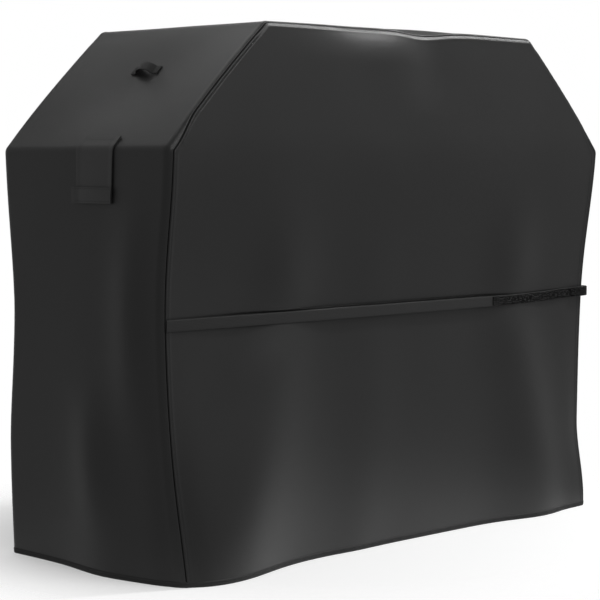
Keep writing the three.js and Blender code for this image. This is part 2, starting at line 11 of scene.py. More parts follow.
import bpy
import numpy as np
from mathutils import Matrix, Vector


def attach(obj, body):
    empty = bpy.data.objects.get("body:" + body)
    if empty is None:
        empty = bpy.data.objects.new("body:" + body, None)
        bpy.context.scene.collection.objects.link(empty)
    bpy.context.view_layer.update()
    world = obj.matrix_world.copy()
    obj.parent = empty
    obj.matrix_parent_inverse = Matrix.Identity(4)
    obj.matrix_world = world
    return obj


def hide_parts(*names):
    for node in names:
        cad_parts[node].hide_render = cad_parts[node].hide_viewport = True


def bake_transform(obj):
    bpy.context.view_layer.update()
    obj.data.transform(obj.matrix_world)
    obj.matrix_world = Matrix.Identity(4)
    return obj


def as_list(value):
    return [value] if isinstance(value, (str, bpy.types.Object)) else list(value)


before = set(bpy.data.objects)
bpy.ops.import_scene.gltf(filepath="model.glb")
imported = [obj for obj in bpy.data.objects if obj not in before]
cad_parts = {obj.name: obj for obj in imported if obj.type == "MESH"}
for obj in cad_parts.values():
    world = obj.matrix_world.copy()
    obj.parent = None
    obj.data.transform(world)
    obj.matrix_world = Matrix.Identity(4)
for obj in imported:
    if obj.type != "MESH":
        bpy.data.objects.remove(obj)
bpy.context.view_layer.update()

MM = 0.001
scene = bpy.context.scene

# ---- Driving dimensions ----
#
# They are the CAD source's, apart from the handles', which are a few millimetres smaller here.

HEIGHT = 1210
SHOULDER_Z = 933
HALF_WIDTH = 749
RIDGE_HALF_WIDTH = 461
HALF_DEPTH = 286
FOLD_RADIUS = 22
HEM_HEIGHT = 12
STRAP_Z = 557
STRAP_WIDTH = 25
WEBBING = 2
TAPE = 1.2
TAPE_WIDTH = 23
LOOP_TAPE_START_X = 347
FRONT_TAIL_LENGTH = 228
REAR_TAIL_LENGTH = 414
FLAP_WIDTH = 122
FLAP_Y = -46
FLAP_DROP = 118
FLAP_ON_SLOPE = 33
FLAP_SEWN_EDGE = 9
FLAP_BAND = 34
VENT_WIDTH = 90
VENT_LOW_Z = 835
VENT_HIGH_Z = 906
VENT_MARGIN = 12
HANDLE_LENGTH = 88
HANDLE_SPAN = 46
HANDLE_RISE = 16
HANDLE_WIDTH = 25
HANDLE_UP_SLOPE = 256
FRONT_PULL = 38
REAR_PULL = 20

CLOTH = 1.3  # the coated cloth itself
SEAM_GAP = 0.5  # between the two cloth edges that meet in a seam

# ---- The straight prism ----

SLOPE = math.atan2(HEIGHT - SHOULDER_Z, HALF_WIDTH - RIDGE_HALF_WIDTH)
SIN, COS = math.sin(SLOPE), math.cos(SLOPE)
SLOPE_NORMAL = math.pi / 2 - SLOPE
SHOULDER = (HALF_WIDTH - FOLD_RADIUS, SHOULDER_Z - FOLD_RADIUS * (1 - SIN) / COS)
RIDGE = (
    HALF_WIDTH - ((HEIGHT - FOLD_RADIUS - SHOULDER_Z) * COS + FOLD_RADIUS) / SIN,
    HEIGHT - FOLD_RADIUS,
)
SLOPE_LENGTH = math.hypot(RIDGE[0] - SHOULDER[0], RIDGE[1] - SHOULDER[1])
SHOULDER_ARC = FOLD_RADIUS * SLOPE_NORMAL
# The soft edge between a panel and the band, and the seam's distance in from the sharp edge. Both
# are wide beside the walls and narrow beside the slopes and the top. Seen across the edge, the panel
# turns by seam_turn up to the seam, and the band turns the rest of the right angle.
WALL_EDGE, WALL_SEAM = 18, 14
TOP_EDGE, TOP_SEAM = 16, 3


def stack(*parts):
    """Arrays and numbers that broadcast together, as rows of one value from each."""
    return np.stack(np.broadcast_arrays(*parts), -1)


def smooth(t):
    t = np.clip(t, 0, 1)
    return t * t * (3 - 2 * t)


def bump(t, centre, width):
    return np.exp(-(((t - centre) / width) ** 2))


def upper(along):
    """0 beside the walls, 1 beside the slopes and the top, along being a place on the outline."""
    return smooth((along - SHOULDER[1] - 2) / 100)


def edge_radius(along):
    return WALL_EDGE + (TOP_EDGE - WALL_EDGE) * upper(along)


def seam_inset(along):
    return WALL_SEAM + (TOP_SEAM - WALL_SEAM) * upper(along)


def seam_turn(along):
    radius = edge_radius(along)
    return np.arcsin((radius - seam_inset(along)) / radius)


def band_half(along):
    """Length of cloth from the band's middle to its seam."""
    radius = edge_radius(along)
    return HALF_DEPTH - radius + radius * (math.pi / 2 - seam_turn(along))


def half_width(z, inset):
    """Half width of the prism's outline at height z, moved inwards by inset."""
    rho = FOLD_RADIUS - inset
    leaves = (SHOULDER[0] + rho * SIN, SHOULDER[1] + rho * COS)
    if z <= SHOULDER[1]:
        return HALF_WIDTH - inset
    if z <= leaves[1]:
        return SHOULDER[0] + math.sqrt(rho**2 - (z - SHOULDER[1]) ** 2)
    if z <= RIDGE[1] + rho * COS:
        return leaves[0] - (z - leaves[1]) * COS / SIN
    return RIDGE[0] + math.sqrt(max(0, rho**2 - (z - RIDGE[1]) ** 2))


def from_outline(x, z):
    """Distance in from the outline and its outward normal, at points of the front view, with the
    distance along the outline from the floor. Points well inside get a rough distance only."""
    ax, side = np.abs(x), np.where(x < 0, -1.0, 1.0)
    lines = [
        (SHOULDER[0], 0, SHOULDER[0], SHOULDER[1], 0),
        (*SHOULDER, *RIDGE, SHOULDER[1]),
        (*RIDGE, 0, RIDGE[1], SHOULDER[1] + SLOPE_LENGTH),
    ]
    best = np.full(ax.shape, np.inf)
    nx, nz, along = np.zeros(ax.shape), np.zeros(ax.shape), np.zeros(ax.shape)
    for x0, z0, x1, z1, start in lines:
        dx, dz = x1 - x0, z1 - z0
        t = np.clip(((ax - x0) * dx + (z - z0) * dz) / (dx * dx + dz * dz), 0, 1)
        qx, qz = x0 + t * dx, z0 + t * dz
        distance = np.hypot(ax - qx, z - qz)
        near = distance < best
        safe = np.maximum(distance, 1e-9)
        best = np.where(near, distance, best)
        nx = np.where(near, side * (ax - qx) / safe, nx)
        nz = np.where(near, (z - qz) / safe, nz)
        along = np.where(near, start + t * math.hypot(dx, dz), along)
    beyond = (ax - SHOULDER[0]) * SIN + (z - SHOULDER[1]) * COS
    inside = (ax <= SHOULDER[0]) & (z <= RIDGE[1]) & (beyond <= 0)
    depth = np.where(inside, FOLD_RADIUS + best, FOLD_RADIUS - best)
    return depth, nx, nz, along


def from_seam(depth, along):
    """Length of the panel's cloth from the seam, at a distance in from the sharp edge."""
    radius, turn = edge_radius(along), seam_turn(along)
    sine = np.clip((radius - depth) / radius, 0, 1)
    return np.where(depth < radius, radius * (turn - np.arcsin(sine)), radius * turn + depth - radius)


def on_panel(side, x, z):
    """Points of the front (side -1) or rear (side 1) panel before draping, and their normals."""
    x, z = np.broadcast_arrays(np.asarray(x, float), np.asarray(z, float))
    depth, nx, nz, along = from_outline(x, z)
    radius = edge_radius(along)
    sine = np.clip((radius - depth) / radius, 0, 1)
    cosine = np.sqrt(1 - sine**2)
    y = side * (HALF_DEPTH - radius * (1 - cosine))
    return stack(x, y, z), stack(nx * sine, side * cosine, nz * sine)


def on_band(outline, w):
    """Points of the band before draping: outline is rows of (x, z, nx, nz), and w a row of lengths
    of cloth from the band's middle, or one for each row. Past the flat part the cloth turns the
    soft edge."""
    at = np.asarray(outline, float)[:, None, :]
    w = np.atleast_2d(np.asarray(w, float))
    radius = edge_radius(from_outline(at[..., 0], at[..., 1])[3])
    flat = HALF_DEPTH - radius
    turn = np.clip((np.abs(w) - flat) / radius, 0, math.pi / 2)
    y = np.sign(w) * (np.minimum(np.abs(w), flat) + radius * np.sin(turn))
    drop = radius * (1 - np.cos(turn))
    out = np.cos(turn)
    p = stack(at[..., 0] - at[..., 2] * drop, y, at[..., 1] - at[..., 3] * drop)
    return p, stack(at[..., 2] * out, np.sign(w) * np.sin(turn), at[..., 3] * out)


# Rows of the band's outline, each (x, z, nx, nz).


def wall(side, z):
    return stack(side * HALF_WIDTH, np.atleast_1d(z), side, 0.0)


def fold(side, centre, angle):
    nx, nz = np.cos(np.atleast_1d(angle)), np.sin(np.atleast_1d(angle))
    return stack(side * (centre[0] + FOLD_RADIUS * nx), centre[1] + FOLD_RADIUS * nz, side * nx, nz)


def slope(side, along):
    """Points of the slope, along millimetres from the end of the shoulder's fold."""
    along = np.atleast_1d(along)
    x, z, nx, nz = fold(side, SHOULDER, SLOPE_NORMAL)[0]
    return stack(x - side * along * COS, z + along * SIN, nx, nz)


def top(x):
    return stack(x, HEIGHT, 0.0, 1.0)


# ---- How the cloth hangs ----
#
# These values are the CAD source's too, apart from the lean and the crown, which are fitted closer.

# Folds of a long panel: (hem x, strap x, hem width, hem height, strap height) of each, round a
# hollow at the hem.
FRONT_HOLLOW, FRONT_FOLDS = 26, [(-615, -375, 190, 60, 16), (-150, -60, 80, 5, 3), (535, 440, 130, 34, 15)]
REAR_HOLLOW, REAR_FOLDS = 22, [(-500, -380, 150, 40, 10), (590, 420, 180, 55, 14)]
STRAP_FOLD_WIDTH = 90
FOLD_FADE = 340  # height above the strap at which the folds are gone
PRESSED, PRESS_REACH = 0.45, 70  # the strap presses the folds flat, by that share
WALL_LEAN = 20
# Bulges of a wall: (y, width, height, lowest z, highest z), and one at the hem that runs out upwards.
LEFT_HEM_BULGE, LEFT_BULGES = (-50, 130, 26), [(-172, 62, 14, 210, 930), (-18, 62, 12, 40, 470)]
RIGHT_HEM_BULGE, RIGHT_BULGES = (40, 140, 26), [(-20, 80, 9, 400, 900), (-110, 80, 9, 60, 440)]
EDGE_LIFT = 2  # how far the front edge of the top stands up
DIP_X, DIP, DIP_WIDTH, DIP_DEPTH = 70, 9, 80, 62  # and where and how far it dips
SLOPE_SAG, SLOPE_CROWN = 8, 5  # down in the middle of a slope, up beside its seams
LEAN_X, LEAN, LEAN_WIDTH, LEAN_FROM = -110, 19, 190, 1130  # the front panel leans back at its top
# Where each lower corner goes: (side of x, side of y, out in x, out in y, reach, full below this z,
# none above this z).
CORNERS = [
    (-1, -1, -15, -15, 55, 0, 650),
    (1, -1, -15, -15, 55, 0, 650),
    (1, -1, 12, 24, 70, 0, 230),
    (-1, 1, 0, 26, 110, 250, 600),
    (1, 1, -15, -15, 55, 0, 650),
]


def waist(z):
    """1 at the strap, 0 at the floor and above the shoulder."""
    t = np.clip((z - STRAP_Z) / (SHOULDER_Z - STRAP_Z), 0, 1.1) / 1.1
    above = (1 + np.cos(math.pi * t)) / 2
    below = (1 + np.cos(math.pi * (STRAP_Z - z) / STRAP_Z)) / 2
    return np.where(z < STRAP_Z, below, above)


def unpressed(z):
    return 1 - PRESSED * bump(z, STRAP_Z, PRESS_REACH)


def panel_pull(x, z, pull, hollow, folds):
    """How far a long panel lies inwards of the prism."""
    down = np.clip(z / STRAP_Z, 0, 1)
    above = np.cos(math.pi / 2 * np.clip((z - STRAP_Z) / FOLD_FADE, 0, 1)) ** 2
    inward = hollow * (1 - down) ** 1.5
    for hem_x, strap_x, hem_width, hem_out, strap_out in folds:
        centre = hem_x + (strap_x - hem_x) * down
        width = hem_width + (STRAP_FOLD_WIDTH - hem_width) * down
        height = hem_out + (strap_out - hem_out) * down
        inward = inward - height * bump(x, centre, width) * above
    return pull * waist(z) + inward * unpressed(z)


def wall_pull(y, z, hem_bulge, bulges):
    """How far a wall lies inwards of the prism."""
    at, width, out = hem_bulge
    down = 1 - np.clip(z / SHOULDER_Z, 0, 1)
    inward = down * WALL_LEAN - out * bump(y, at, width) * down**3
    for at, width, out, low, high in bulges:
        up = np.clip((z - low) / (high - low), 0, 1)
        inward = inward - out * bump(y, at, width) * np.sin(math.pi * up) ** 2
    return inward


def drape(p):
    """Moves points of the prism to where the cloth hangs."""
    x, y, z = p[..., 0], p[..., 1], p[..., 2]
    across = np.clip((x + HALF_WIDTH) / (2 * HALF_WIDTH), 0, 1)
    along = np.clip((y + HALF_DEPTH) / (2 * HALF_DEPTH), 0, 1)
    front = panel_pull(x, z, FRONT_PULL, FRONT_HOLLOW, FRONT_FOLDS)
    rear = panel_pull(x, z, REAR_PULL, REAR_HOLLOW, REAR_FOLDS)
    left = wall_pull(y, z, LEFT_HEM_BULGE, LEFT_BULGES)
    right = wall_pull(y, z, RIGHT_HEM_BULGE, RIGHT_BULGES)
    new_y = y + (1 - along) * front - along * rear
    new_x = x + (1 - across) * left - across * right

    high = smooth((z - 1000) / 190)
    at_front = 1 - smooth((y + HALF_DEPTH) / DIP_DEPTH)
    dip = DIP * bump(x, DIP_X, DIP_WIDTH)
    lift = EDGE_LIFT * (1 - np.clip(np.abs(x) / RIDGE_HALF_WIDTH, 0, 1) ** 2)
    new_z = z + (lift - dip) * high * at_front
    new_y = new_y + dip * high * at_front
    near_top = np.clip((z - LEAN_FROM) / (HEIGHT - LEAN_FROM), 0, 1) ** 2
    new_y = new_y + LEAN * bump(x, LEAN_X, LEAN_WIDTH) * near_top * at_front

    up_slope = np.sin(math.pi * np.clip((z - SHOULDER_Z) / (HEIGHT - SHOULDER_Z), 0, 1))
    outside = smooth((np.abs(x) - RIDGE_HALF_WIDTH) / 40)
    middle = np.cos(math.pi * y / (2 * HALF_DEPTH)) ** 2
    sag = (SLOPE_SAG * up_slope**2 * middle - SLOPE_CROWN * up_slope * (1 - middle)) * outside
    new_x = new_x - np.sign(x) * sag * SIN
    new_z = new_z - sag * COS

    for side_x, side_y, out_x, out_y, reach, low, top_z in CORNERS:
        corner = np.hypot(x - side_x * HALF_WIDTH, y - side_y * HALF_DEPTH)
        near = bump(corner, 0, reach) * (1 - smooth((z - low) / (top_z - low)))
        new_x = new_x + side_x * out_x * near
        new_y = new_y + side_y * out_y * near
    return stack(new_x, new_y, new_z)


# ---- Meshes ----


def make_mesh(name, points, faces, uv, material, smooth_below=50):
    """A mesh object from points in millimetres and quads, turned so that its faces point out."""
    points, faces = np.asarray(points, float) * MM, np.asarray(faces)
    used, faces = np.unique(faces, return_inverse=True)
    faces = faces.reshape(-1, 4)
    points, uv = points[used], np.asarray(uv, float)[used] * MM
    a, b, c, d = (points[faces[:, k]] for k in range(4))
    volume = np.einsum("ij,ij->i", a, np.cross(b, c)) + np.einsum("ij,ij->i", a, np.cross(c, d))
    if volume.sum() < 0:
        faces = faces[:, ::-1]
    mesh = bpy.data.meshes.new(name)
    mesh.from_pydata(points.tolist(), [], faces.tolist())
    layer = mesh.uv_layers.new(name="UVMap")
    corners = np.zeros(len(mesh.loops), np.int64)
    mesh.loops.foreach_get("vertex_index", corners)
    layer.data.foreach_set("uv", uv[corners].astype(np.float32).ravel())
    mesh.materials.append(material)
    mesh.shade_smooth()
    mesh.set_sharp_from_angle(angle=math.radians(smooth_below))
    mesh.update()
    made = bpy.data.objects.new(name, mesh)
    scene.collection.objects.link(made)
    return made


def grid_faces(rows, columns, wrap_rows=False, wrap_columns=False):
    index = np.arange(rows * columns).reshape(rows, columns)
    if wrap_rows:
        index = np.vstack([index, index[:1]])
    if wrap_columns:
        index = np.hstack([index, index[:, :1]])
    return stack(index[:-1, :-1], index[:-1, 1:], index[1:, 1:], index[1:, :-1])


def tube_faces(rings, sides, cap):
    """Quads of a tube, closed at its first ring by the quads of cap and at its last by the same."""
    faces = grid_faces(rings, sides, wrap_columns=True).reshape(-1, 4)
    return np.vstack([faces, cap, np.array(cap)[:, ::-1] + (rings - 1) * sides])


def draped_sheet(name, p, n, low, high, uv, material, keep=None):
    """A closed thin sheet that hangs as drape() says, from low to high off the cloth's own surface.
    keep marks the cells of its grid that are cloth."""
    rows, columns = p.shape[:2]
    count = rows * columns
    quads = grid_faces(rows, columns)
    quads = quads.reshape(-1, 4) if keep is None else quads[keep]
    starts, ends = quads.ravel(), np.roll(quads, -1, axis=1).ravel()
    open_edge = ~np.isin(starts * count + ends, ends * count + starts)
    s, e = starts[open_edge], ends[open_edge]
    rim = stack(e, s, s + count, e + count)
    faces = np.vstack([quads, quads[:, ::-1] + count, rim])
    low, high = (np.broadcast_to(v, p.shape[:2])[..., None] for v in (low, high))
    base = drape(p)
    points = np.vstack([(base + n * high).reshape(-1, 3), (base + n * low).reshape(-1, 3)])
    flat = np.vstack([uv.reshape(-1, 2)] * 2)
    return make_mesh(name, points, faces, flat, material)


def lengths(points):
    """Distance along a row of points."""
    steps = np.linalg.norm(np.diff(points, axis=0), axis=1)
    return np.concatenate([[0], np.cumsum(steps)])


def read_along(t, s, rows):
    """Points or normals at the places t, from rows of them at the places s."""
    return np.stack([np.interp(t, s, rows[:, k]) for k in range(rows.shape[1])], -1)


def flattened(points, faces, uv):
    """The three arrays that make_mesh and join_parts take, as plain rows."""
    return points.reshape(-1, 3), faces.reshape(-1, 4), uv.reshape(-1, 2)


def hand_over(made, body, slot, *nodes):
    """Puts a piece on the body it rides on and hides the CAD nodes it stands for. Its slot, what it is made
    of, is not used.
    """
    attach(made, body)
    if nodes:
        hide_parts(*nodes)


def unit(v):
    return v / np.maximum(np.linalg.norm(v, axis=-1, keepdims=True), 1e-9)


def resample(points, step):
    s = lengths(points)
    t = np.linspace(0, s[-1], max(2, int(round(s[-1] / step)) + 1))
    return read_along(t, s, points)


def soften(points, rounds):
    """Moves each point of an open row towards the middle of its neighbours, ends held."""
    points = points.copy()
    for _ in range(rounds):
        points[1:-1] = 0.5 * points[1:-1] + 0.25 * (points[:-2] + points[2:])
    return points


def tape_section(width, thickness, steps=6):
    """Outline of a woven tape: flat faces and rounded selvedges, as (across, out)."""
    rounding = thickness / 2
    flat = width / 2 - rounding
    angles = np.linspace(-math.pi / 2, math.pi / 2, steps)
    edge = stack(flat + rounding * np.cos(angles), rounding * np.sin(angles))
    face = stack(np.linspace(flat, -flat, 6)[1:-1], rounding)
    return np.vstack([edge, face, edge[::-1] * (-1, 1), face[::-1] * (1, -1)])


def ribbon(name, centre, across, width, thickness, material):
    """A tape swept along centre. across is the direction of its width, one or one for each point."""
    tangent = unit(np.gradient(centre, axis=0))
    across = np.broadcast_to(across, centre.shape)
    across = unit(across - tangent * np.sum(across * tangent, -1, keepdims=True))
    out = np.cross(across, tangent)
    section = tape_section(width, thickness)
    sides = len(section)
    rings = centre[:, None] + across[:, None] * section[None, :, :1] + out[:, None] * section[None, :, 1:]
    cap = [[sides - 1 - k, sides - 2 - k, k + 1, k] for k in range(sides // 2 - 1)]
    uv = stack(lengths(centre)[:, None], section[None, :, 0])
    return make_mesh(name, *flattened(rings, tube_faces(len(centre), sides, cap), uv), material)


def stitch_parts(points, normals, pitch=5.0, length=3.7, radius=0.42, sink=0.15):
    """Rows of thread: short dashes that come up through the cloth and go down again."""
    s = lengths(points)
    count = int((s[-1] - 2) / pitch)
    starts = (s[-1] - count * pitch) / 2 + pitch * (np.arange(count) + 0.5)
    profile = np.array([-0.5, -0.3, 0, 0.3, 0.5])
    lift = np.array([-1.3, 0.35, 0.75, 0.35, -1.3]) * radius - sink
    swell = np.array([0.6, 1, 1, 1, 0.6]) * radius
    t = starts[:, None] + length * profile[None, :]
    at = read_along(t, s, points)
    up = unit(read_along(t, s, normals))
    ahead = unit(at[:, -1:] - at[:, :1]) * np.ones((1, len(profile), 1))
    side = unit(np.cross(ahead, up))
    centre = at + up * lift[None, :, None]
    sides = 6
    angles = np.arange(sides) * 2 * math.pi / sides
    ring = (
        side[:, :, None] * np.cos(angles)[None, None, :, None]
        + up[:, :, None] * np.sin(angles)[None, None, :, None]
    )
    verts = centre[:, :, None] + ring * swell[None, :, None, None]
    faces = tube_faces(len(profile), sides, [[3, 2, 1, 0], [5, 4, 3, 0]])
    offsets = np.arange(count)[:, None, None] * len(profile) * sides
    return flattened(verts, faces[None] + offsets, stack(t[:, :, None], angles[None, None, :]))


def join_parts(name, parts, material, smooth_below=60):
    points, faces, uv, offset = [], [], [], 0
    for p, f, t in parts:
        points.append(p)
        faces.append(f + offset)
        uv.append(t)
        offset += len(p)
    return make_mesh(name, np.vstack(points), np.vstack(faces), np.vstack(uv), material, smooth_below)


# ---- Materials ----


class Finish:
    """A Principled material with a few helpers for its procedural nodes."""

    def __init__(self, name, roughness, **sockets):
        self.material = bpy.data.materials.new(name)
        self.material.use_nodes = True
        self.tree = self.material.node_tree
        self.shader = self.tree.nodes["Principled BSDF"]
        self.shader.inputs["Roughness"].default_value = roughness
        for socket, value in sockets.items():
            self.shader.inputs[socket.replace("_", " ")].default_value = value
        self.bumps = []

    def node(self, kind, inputs=None, **settings):
        made = self.tree.nodes.new(kind)
        for key, value in settings.items():
            setattr(made, key, value)
        for key, value in (inputs or {}).items():
            if isinstance(value, bpy.types.NodeSocket):
                self.tree.links.new(value, made.inputs[key])
            else:
                made.inputs[key].default_value = value
        return made

    def math(self, operation, a, b=0.0):
        return self.node("ShaderNodeMath", {0: a, 1: b}, operation=operation).outputs[0]

    def object_noise(self, scale, detail=2.0, roughness=0.5):
        place = self.node("ShaderNodeTexCoord").outputs["Object"]
        inputs = {"Vector": place, "Scale": scale, "Detail": detail, "Roughness": roughness}
        return self.node("ShaderNodeTexNoise", inputs).outputs["Fac"]

    def uv(self):
        split = self.node("ShaderNodeSeparateXYZ", {0: self.node("ShaderNodeTexCoord").outputs["UV"]})
        return split.outputs[0], split.outputs[1]

    def wave(self, value, pitch):
        """A sine along a flat length in metres, one turn for each pitch in millimetres."""
        return self.math("SINE", self.math("MULTIPLY", value, 2 * math.pi / (pitch * MM)))

    def ramp(self, value, low, high, dark, light):
        stops = self.node("ShaderNodeValToRGB", {0: value})
        stops.color_ramp.elements[0].position = low
        stops.color_ramp.elements[1].position = high
        stops.color_ramp.elements[0].color = (*dark, 1)
        stops.color_ramp.elements[1].color = (*light, 1)
        return stops.outputs[0]

    def product(self, a, b):
        inputs = {0: 1.0, 6: a, 7: b}
        return self.node("ShaderNodeMix", inputs, data_type="RGBA", blend_type="MULTIPLY").outputs[2]

    def colour(self, value):
        self.tree.links.new(value, self.shader.inputs["Base Color"])

    def rough(self, value, low, high):
        inputs = {"Value": value, "From Min": 0.3, "From Max": 0.7, "To Min": low, "To Max": high}
        spread = self.node("ShaderNodeMapRange", inputs).outputs[0]
        self.tree.links.new(spread, self.shader.inputs["Roughness"])

    def relief(self, height, distance, strength=1.0):
        """Adds a bump of that real height in millimetres."""
        inputs = {"Height": height, "Distance": distance * MM, "Strength": strength}
        if self.bumps:
            inputs["Normal"] = self.bumps[-1]
        self.bumps.append(self.node("ShaderNodeBump", inputs).outputs[0])
        self.tree.links.new(self.bumps[-1], self.shader.inputs["Normal"])


def grey(value, warmth=0.0):
    return (value * (1 + warmth), value, value * (1 - warmth))


def coated_cloth(name, shade):
    made = Finish(name, 0.36, Specular_IOR_Level=0.4, Sheen_Weight=0.03, Sheen_Roughness=0.45)
    u, v = made.uv()
    weave = made.math("MULTIPLY", made.wave(u, 1.1), made.wave(v, 1.1))
    cloud = made.object_noise(2.3, 3.0)
    crinkle = made.object_noise(55.0, 3.0, 0.6)
    # shade scales the base colour: 1 for the cloth itself, and above 1 it paints a lighter copy of the same
    # cloth, which is painted light.
    base = made.ramp(cloud, 0.3, 0.7, grey(0.013 * shade), grey(0.0155 * shade))
    threads = made.ramp(weave, -0.6, 0.8, grey(0.86), grey(1.0))
    made.colour(made.product(base, threads))
    made.rough(cloud, 0.33, 0.41)
    made.relief(crinkle, 0.35, 0.5)
    made.relief(weave, 0.09, 0.55)
    return made.material


def binding_tape():
    made = Finish("binding_tape", 0.6, Specular_IOR_Level=0.24)
    u, _ = made.uv()
    # The tape is painted lighter than the cloth: painted light, for the lit look of the hem.
    made.colour(made.ramp(made.object_noise(9.0), 0.3, 0.7, grey(0.019), grey(0.024)))
    made.relief(made.wave(u, 1.3), 0.16, 0.6)
    return made.material


def strap_webbing():
    made = Finish("strap_webbing", 0.6, Specular_IOR_Level=0.28, Sheen_Weight=0.05)
    u, v = made.uv()
    ribs = made.wave(u, 2.2)
    lines = made.wave(v, 3.1)
    weave = made.math("ADD", ribs, made.math("MULTIPLY", lines, 0.45))
    made.colour(made.ramp(weave, -1.2, 1.2, grey(0.0115), grey(0.019)))
    made.relief(weave, 0.3, 0.7)
    made.relief(made.object_noise(900.0), 0.15, 0.4)
    return made.material


def loop_nap():
    made = Finish("loop_nap", 0.95, Specular_IOR_Level=0.08)
    flat = made.node("ShaderNodeTexCoord").outputs["UV"]
    cells = made.node("ShaderNodeTexVoronoi", {"Vector": flat, "Scale": 420.0}).outputs["Distance"]
    tufts = made.node("ShaderNodeTexNoise", {"Vector": flat, "Scale": 330.0, "Detail": 0.0}).outputs["Fac"]
    knots = made.ramp(tufts, 0.56, 0.64, grey(0.001), grey(0.13))
    made.colour(made.product(knots, made.ramp(cells, 0.0, 0.6, grey(1.0), grey(0.3))))
    made.relief(cells, 1.0, 0.6)
    return made.material


def hook_nap():
    made = Finish("hook_nap", 0.5, Specular_IOR_Level=0.45)
    u, v = made.uv()
    hooks = made.math("MULTIPLY", made.wave(u, 1.6), made.wave(v, 1.6))
    made.colour(made.ramp(hooks, 0.2, 0.9, grey(0.006), grey(0.03)))
    made.relief(hooks, 0.9, 0.9)
    return made.material


def vent_wire():
    made = Finish("vent_wire", 0.55, Specular_IOR_Level=0.4)
    made.colour(made.ramp(made.object_noise(300.0), 0.3, 0.7, grey(0.009), grey(0.016)))
    made.relief(made.object_noise(2500.0), 0.05, 0.4)
    return made.material


def satin_label():
    made = Finish("satin_label", 0.42, Specular_IOR_Level=0.5, Sheen_Weight=0.2)
    _, v = made.uv()
    made.colour(made.ramp(made.object_noise(40.0), 0.3, 0.7, grey(0.55, 0.01), grey(0.63, 0.01)))
    made.relief(made.wave(v, 0.7), 0.06, 0.5)
    return made.material


def sewing_thread():
    made = Finish("sewing_thread", 0.55, Specular_IOR_Level=0.45, Sheen_Weight=0.1)
    u, v = made.uv()
    turns = made.math("ADD", made.math("MULTIPLY", u, 7000.0), made.math("MULTIPLY", v, 1000.0))
    twist = made.math("SINE", turns)
    made.colour(made.ramp(twist, -0.8, 0.8, grey(0.009), grey(0.014)))
    made.relief(twist, 0.12, 0.6)
    return made.material


cloth = coated_cloth("coated_polyester", 1.0)
# The flaps take a copy of the same cloth painted 2.3 times lighter: painted light, for the light the
# hanging flaps catch.
flap_cloth_painted_lighter = coated_cloth("flap_polyester_painted_lighter", 2.3)
binding = binding_tape()
webbing = strap_webbing()
loop_tape = loop_nap()
hook_tape = hook_nap()
wire = vent_wire()
satin = satin_label()
thread = sewing_thread()

# ---- The cloth's own relief near seams and stitching ----

SEAM_ROLL = 3.0  # the cloth rolls into the seam over this length
SEAM_DEPTH = 4.2
WELT = 0.6  # how far the seam allowance beneath lifts the cloth
WELT_WIDTH = 14
STITCH_FROM_SEAM = 7.5
STRAP_BITE = 3.5  # how deep the strap's edge sinks into the cloth


def seam_relief(distance, along, stitch):
    """Height of the cloth near a seam, at a distance from it and a place along it. stitch is how
    deep its row of stitching is drawn in."""
    roll = -SEAM_DEPTH * np.clip(1 - distance / SEAM_ROLL, 0, 1) ** 2
    lip = 0.6 * stitch * bump(distance, 3.6, 1.5)
    welt = WELT * (1 - smooth((distance - WELT_WIDTH + 3) / 5))
    row = -1.6 * stitch * bump(distance, STITCH_FROM_SEAM, 1.5)
    ripple = np.sin(along / 4.1 + 1.3 * np.sin(along / 37)) + 0.6 * np.sin(along / 9.7 + 2)
    pucker = (0.05 + 0.2 * stitch) * ripple * np.exp(-(((distance - 9) / 8) ** 2))
    return roll + lip + welt + row + pucker


def soft_relief(u, v):
    """The slow unevenness of loose cloth."""
    slow = np.sin(u / 61 + 1.7 * np.sin(v / 143)) * np.sin(v / 83 + 1.1 * np.sin(u / 171))
    return 0.35 * slow


# ---- Panels and band ----

# Distances in from a seam at which a sheet has its rows, and the size of its cells elsewhere.
EDGE_STEPS = np.array([0, 0.5, 1.1, 1.8, 2.6, 3.6, 5, 6.5, 7.5, 8.5, 9.5, 11, 13, 15, 18, 22, 27, 33, 40.0])
CELL, SHOULDER_CELL, STRAP_CELL = 8, 3, 2


def between(low, high, step):
    """Even places about a step apart, ends included. Where high is below low, only the two ends."""
    return np.linspace(low, high, max(2, int(round((high - low) / step)) + 1))


def edged(low, high, steps, cell):
    """Places from low to high, close together at both ends."""
    steps = np.array(steps, float)
    middle = between(low + steps[-1], high - steps[-1], cell)[1:-1]
    return np.concatenate([low + steps, middle, (high - steps)[::-1]])


SHEET_LOW_Z = HEM_HEIGHT - 5  # the cloth ends inside the hem's binding


def seam_half_width(z):
    """Half width of a panel at height z, up to its seam."""
    inset = TOP_SEAM
    for _ in range(6):
        half = half_width(z, inset + SEAM_GAP / 2)
        inset = float(seam_inset(from_outline(np.array(half), np.array(z))[3]))
    return half


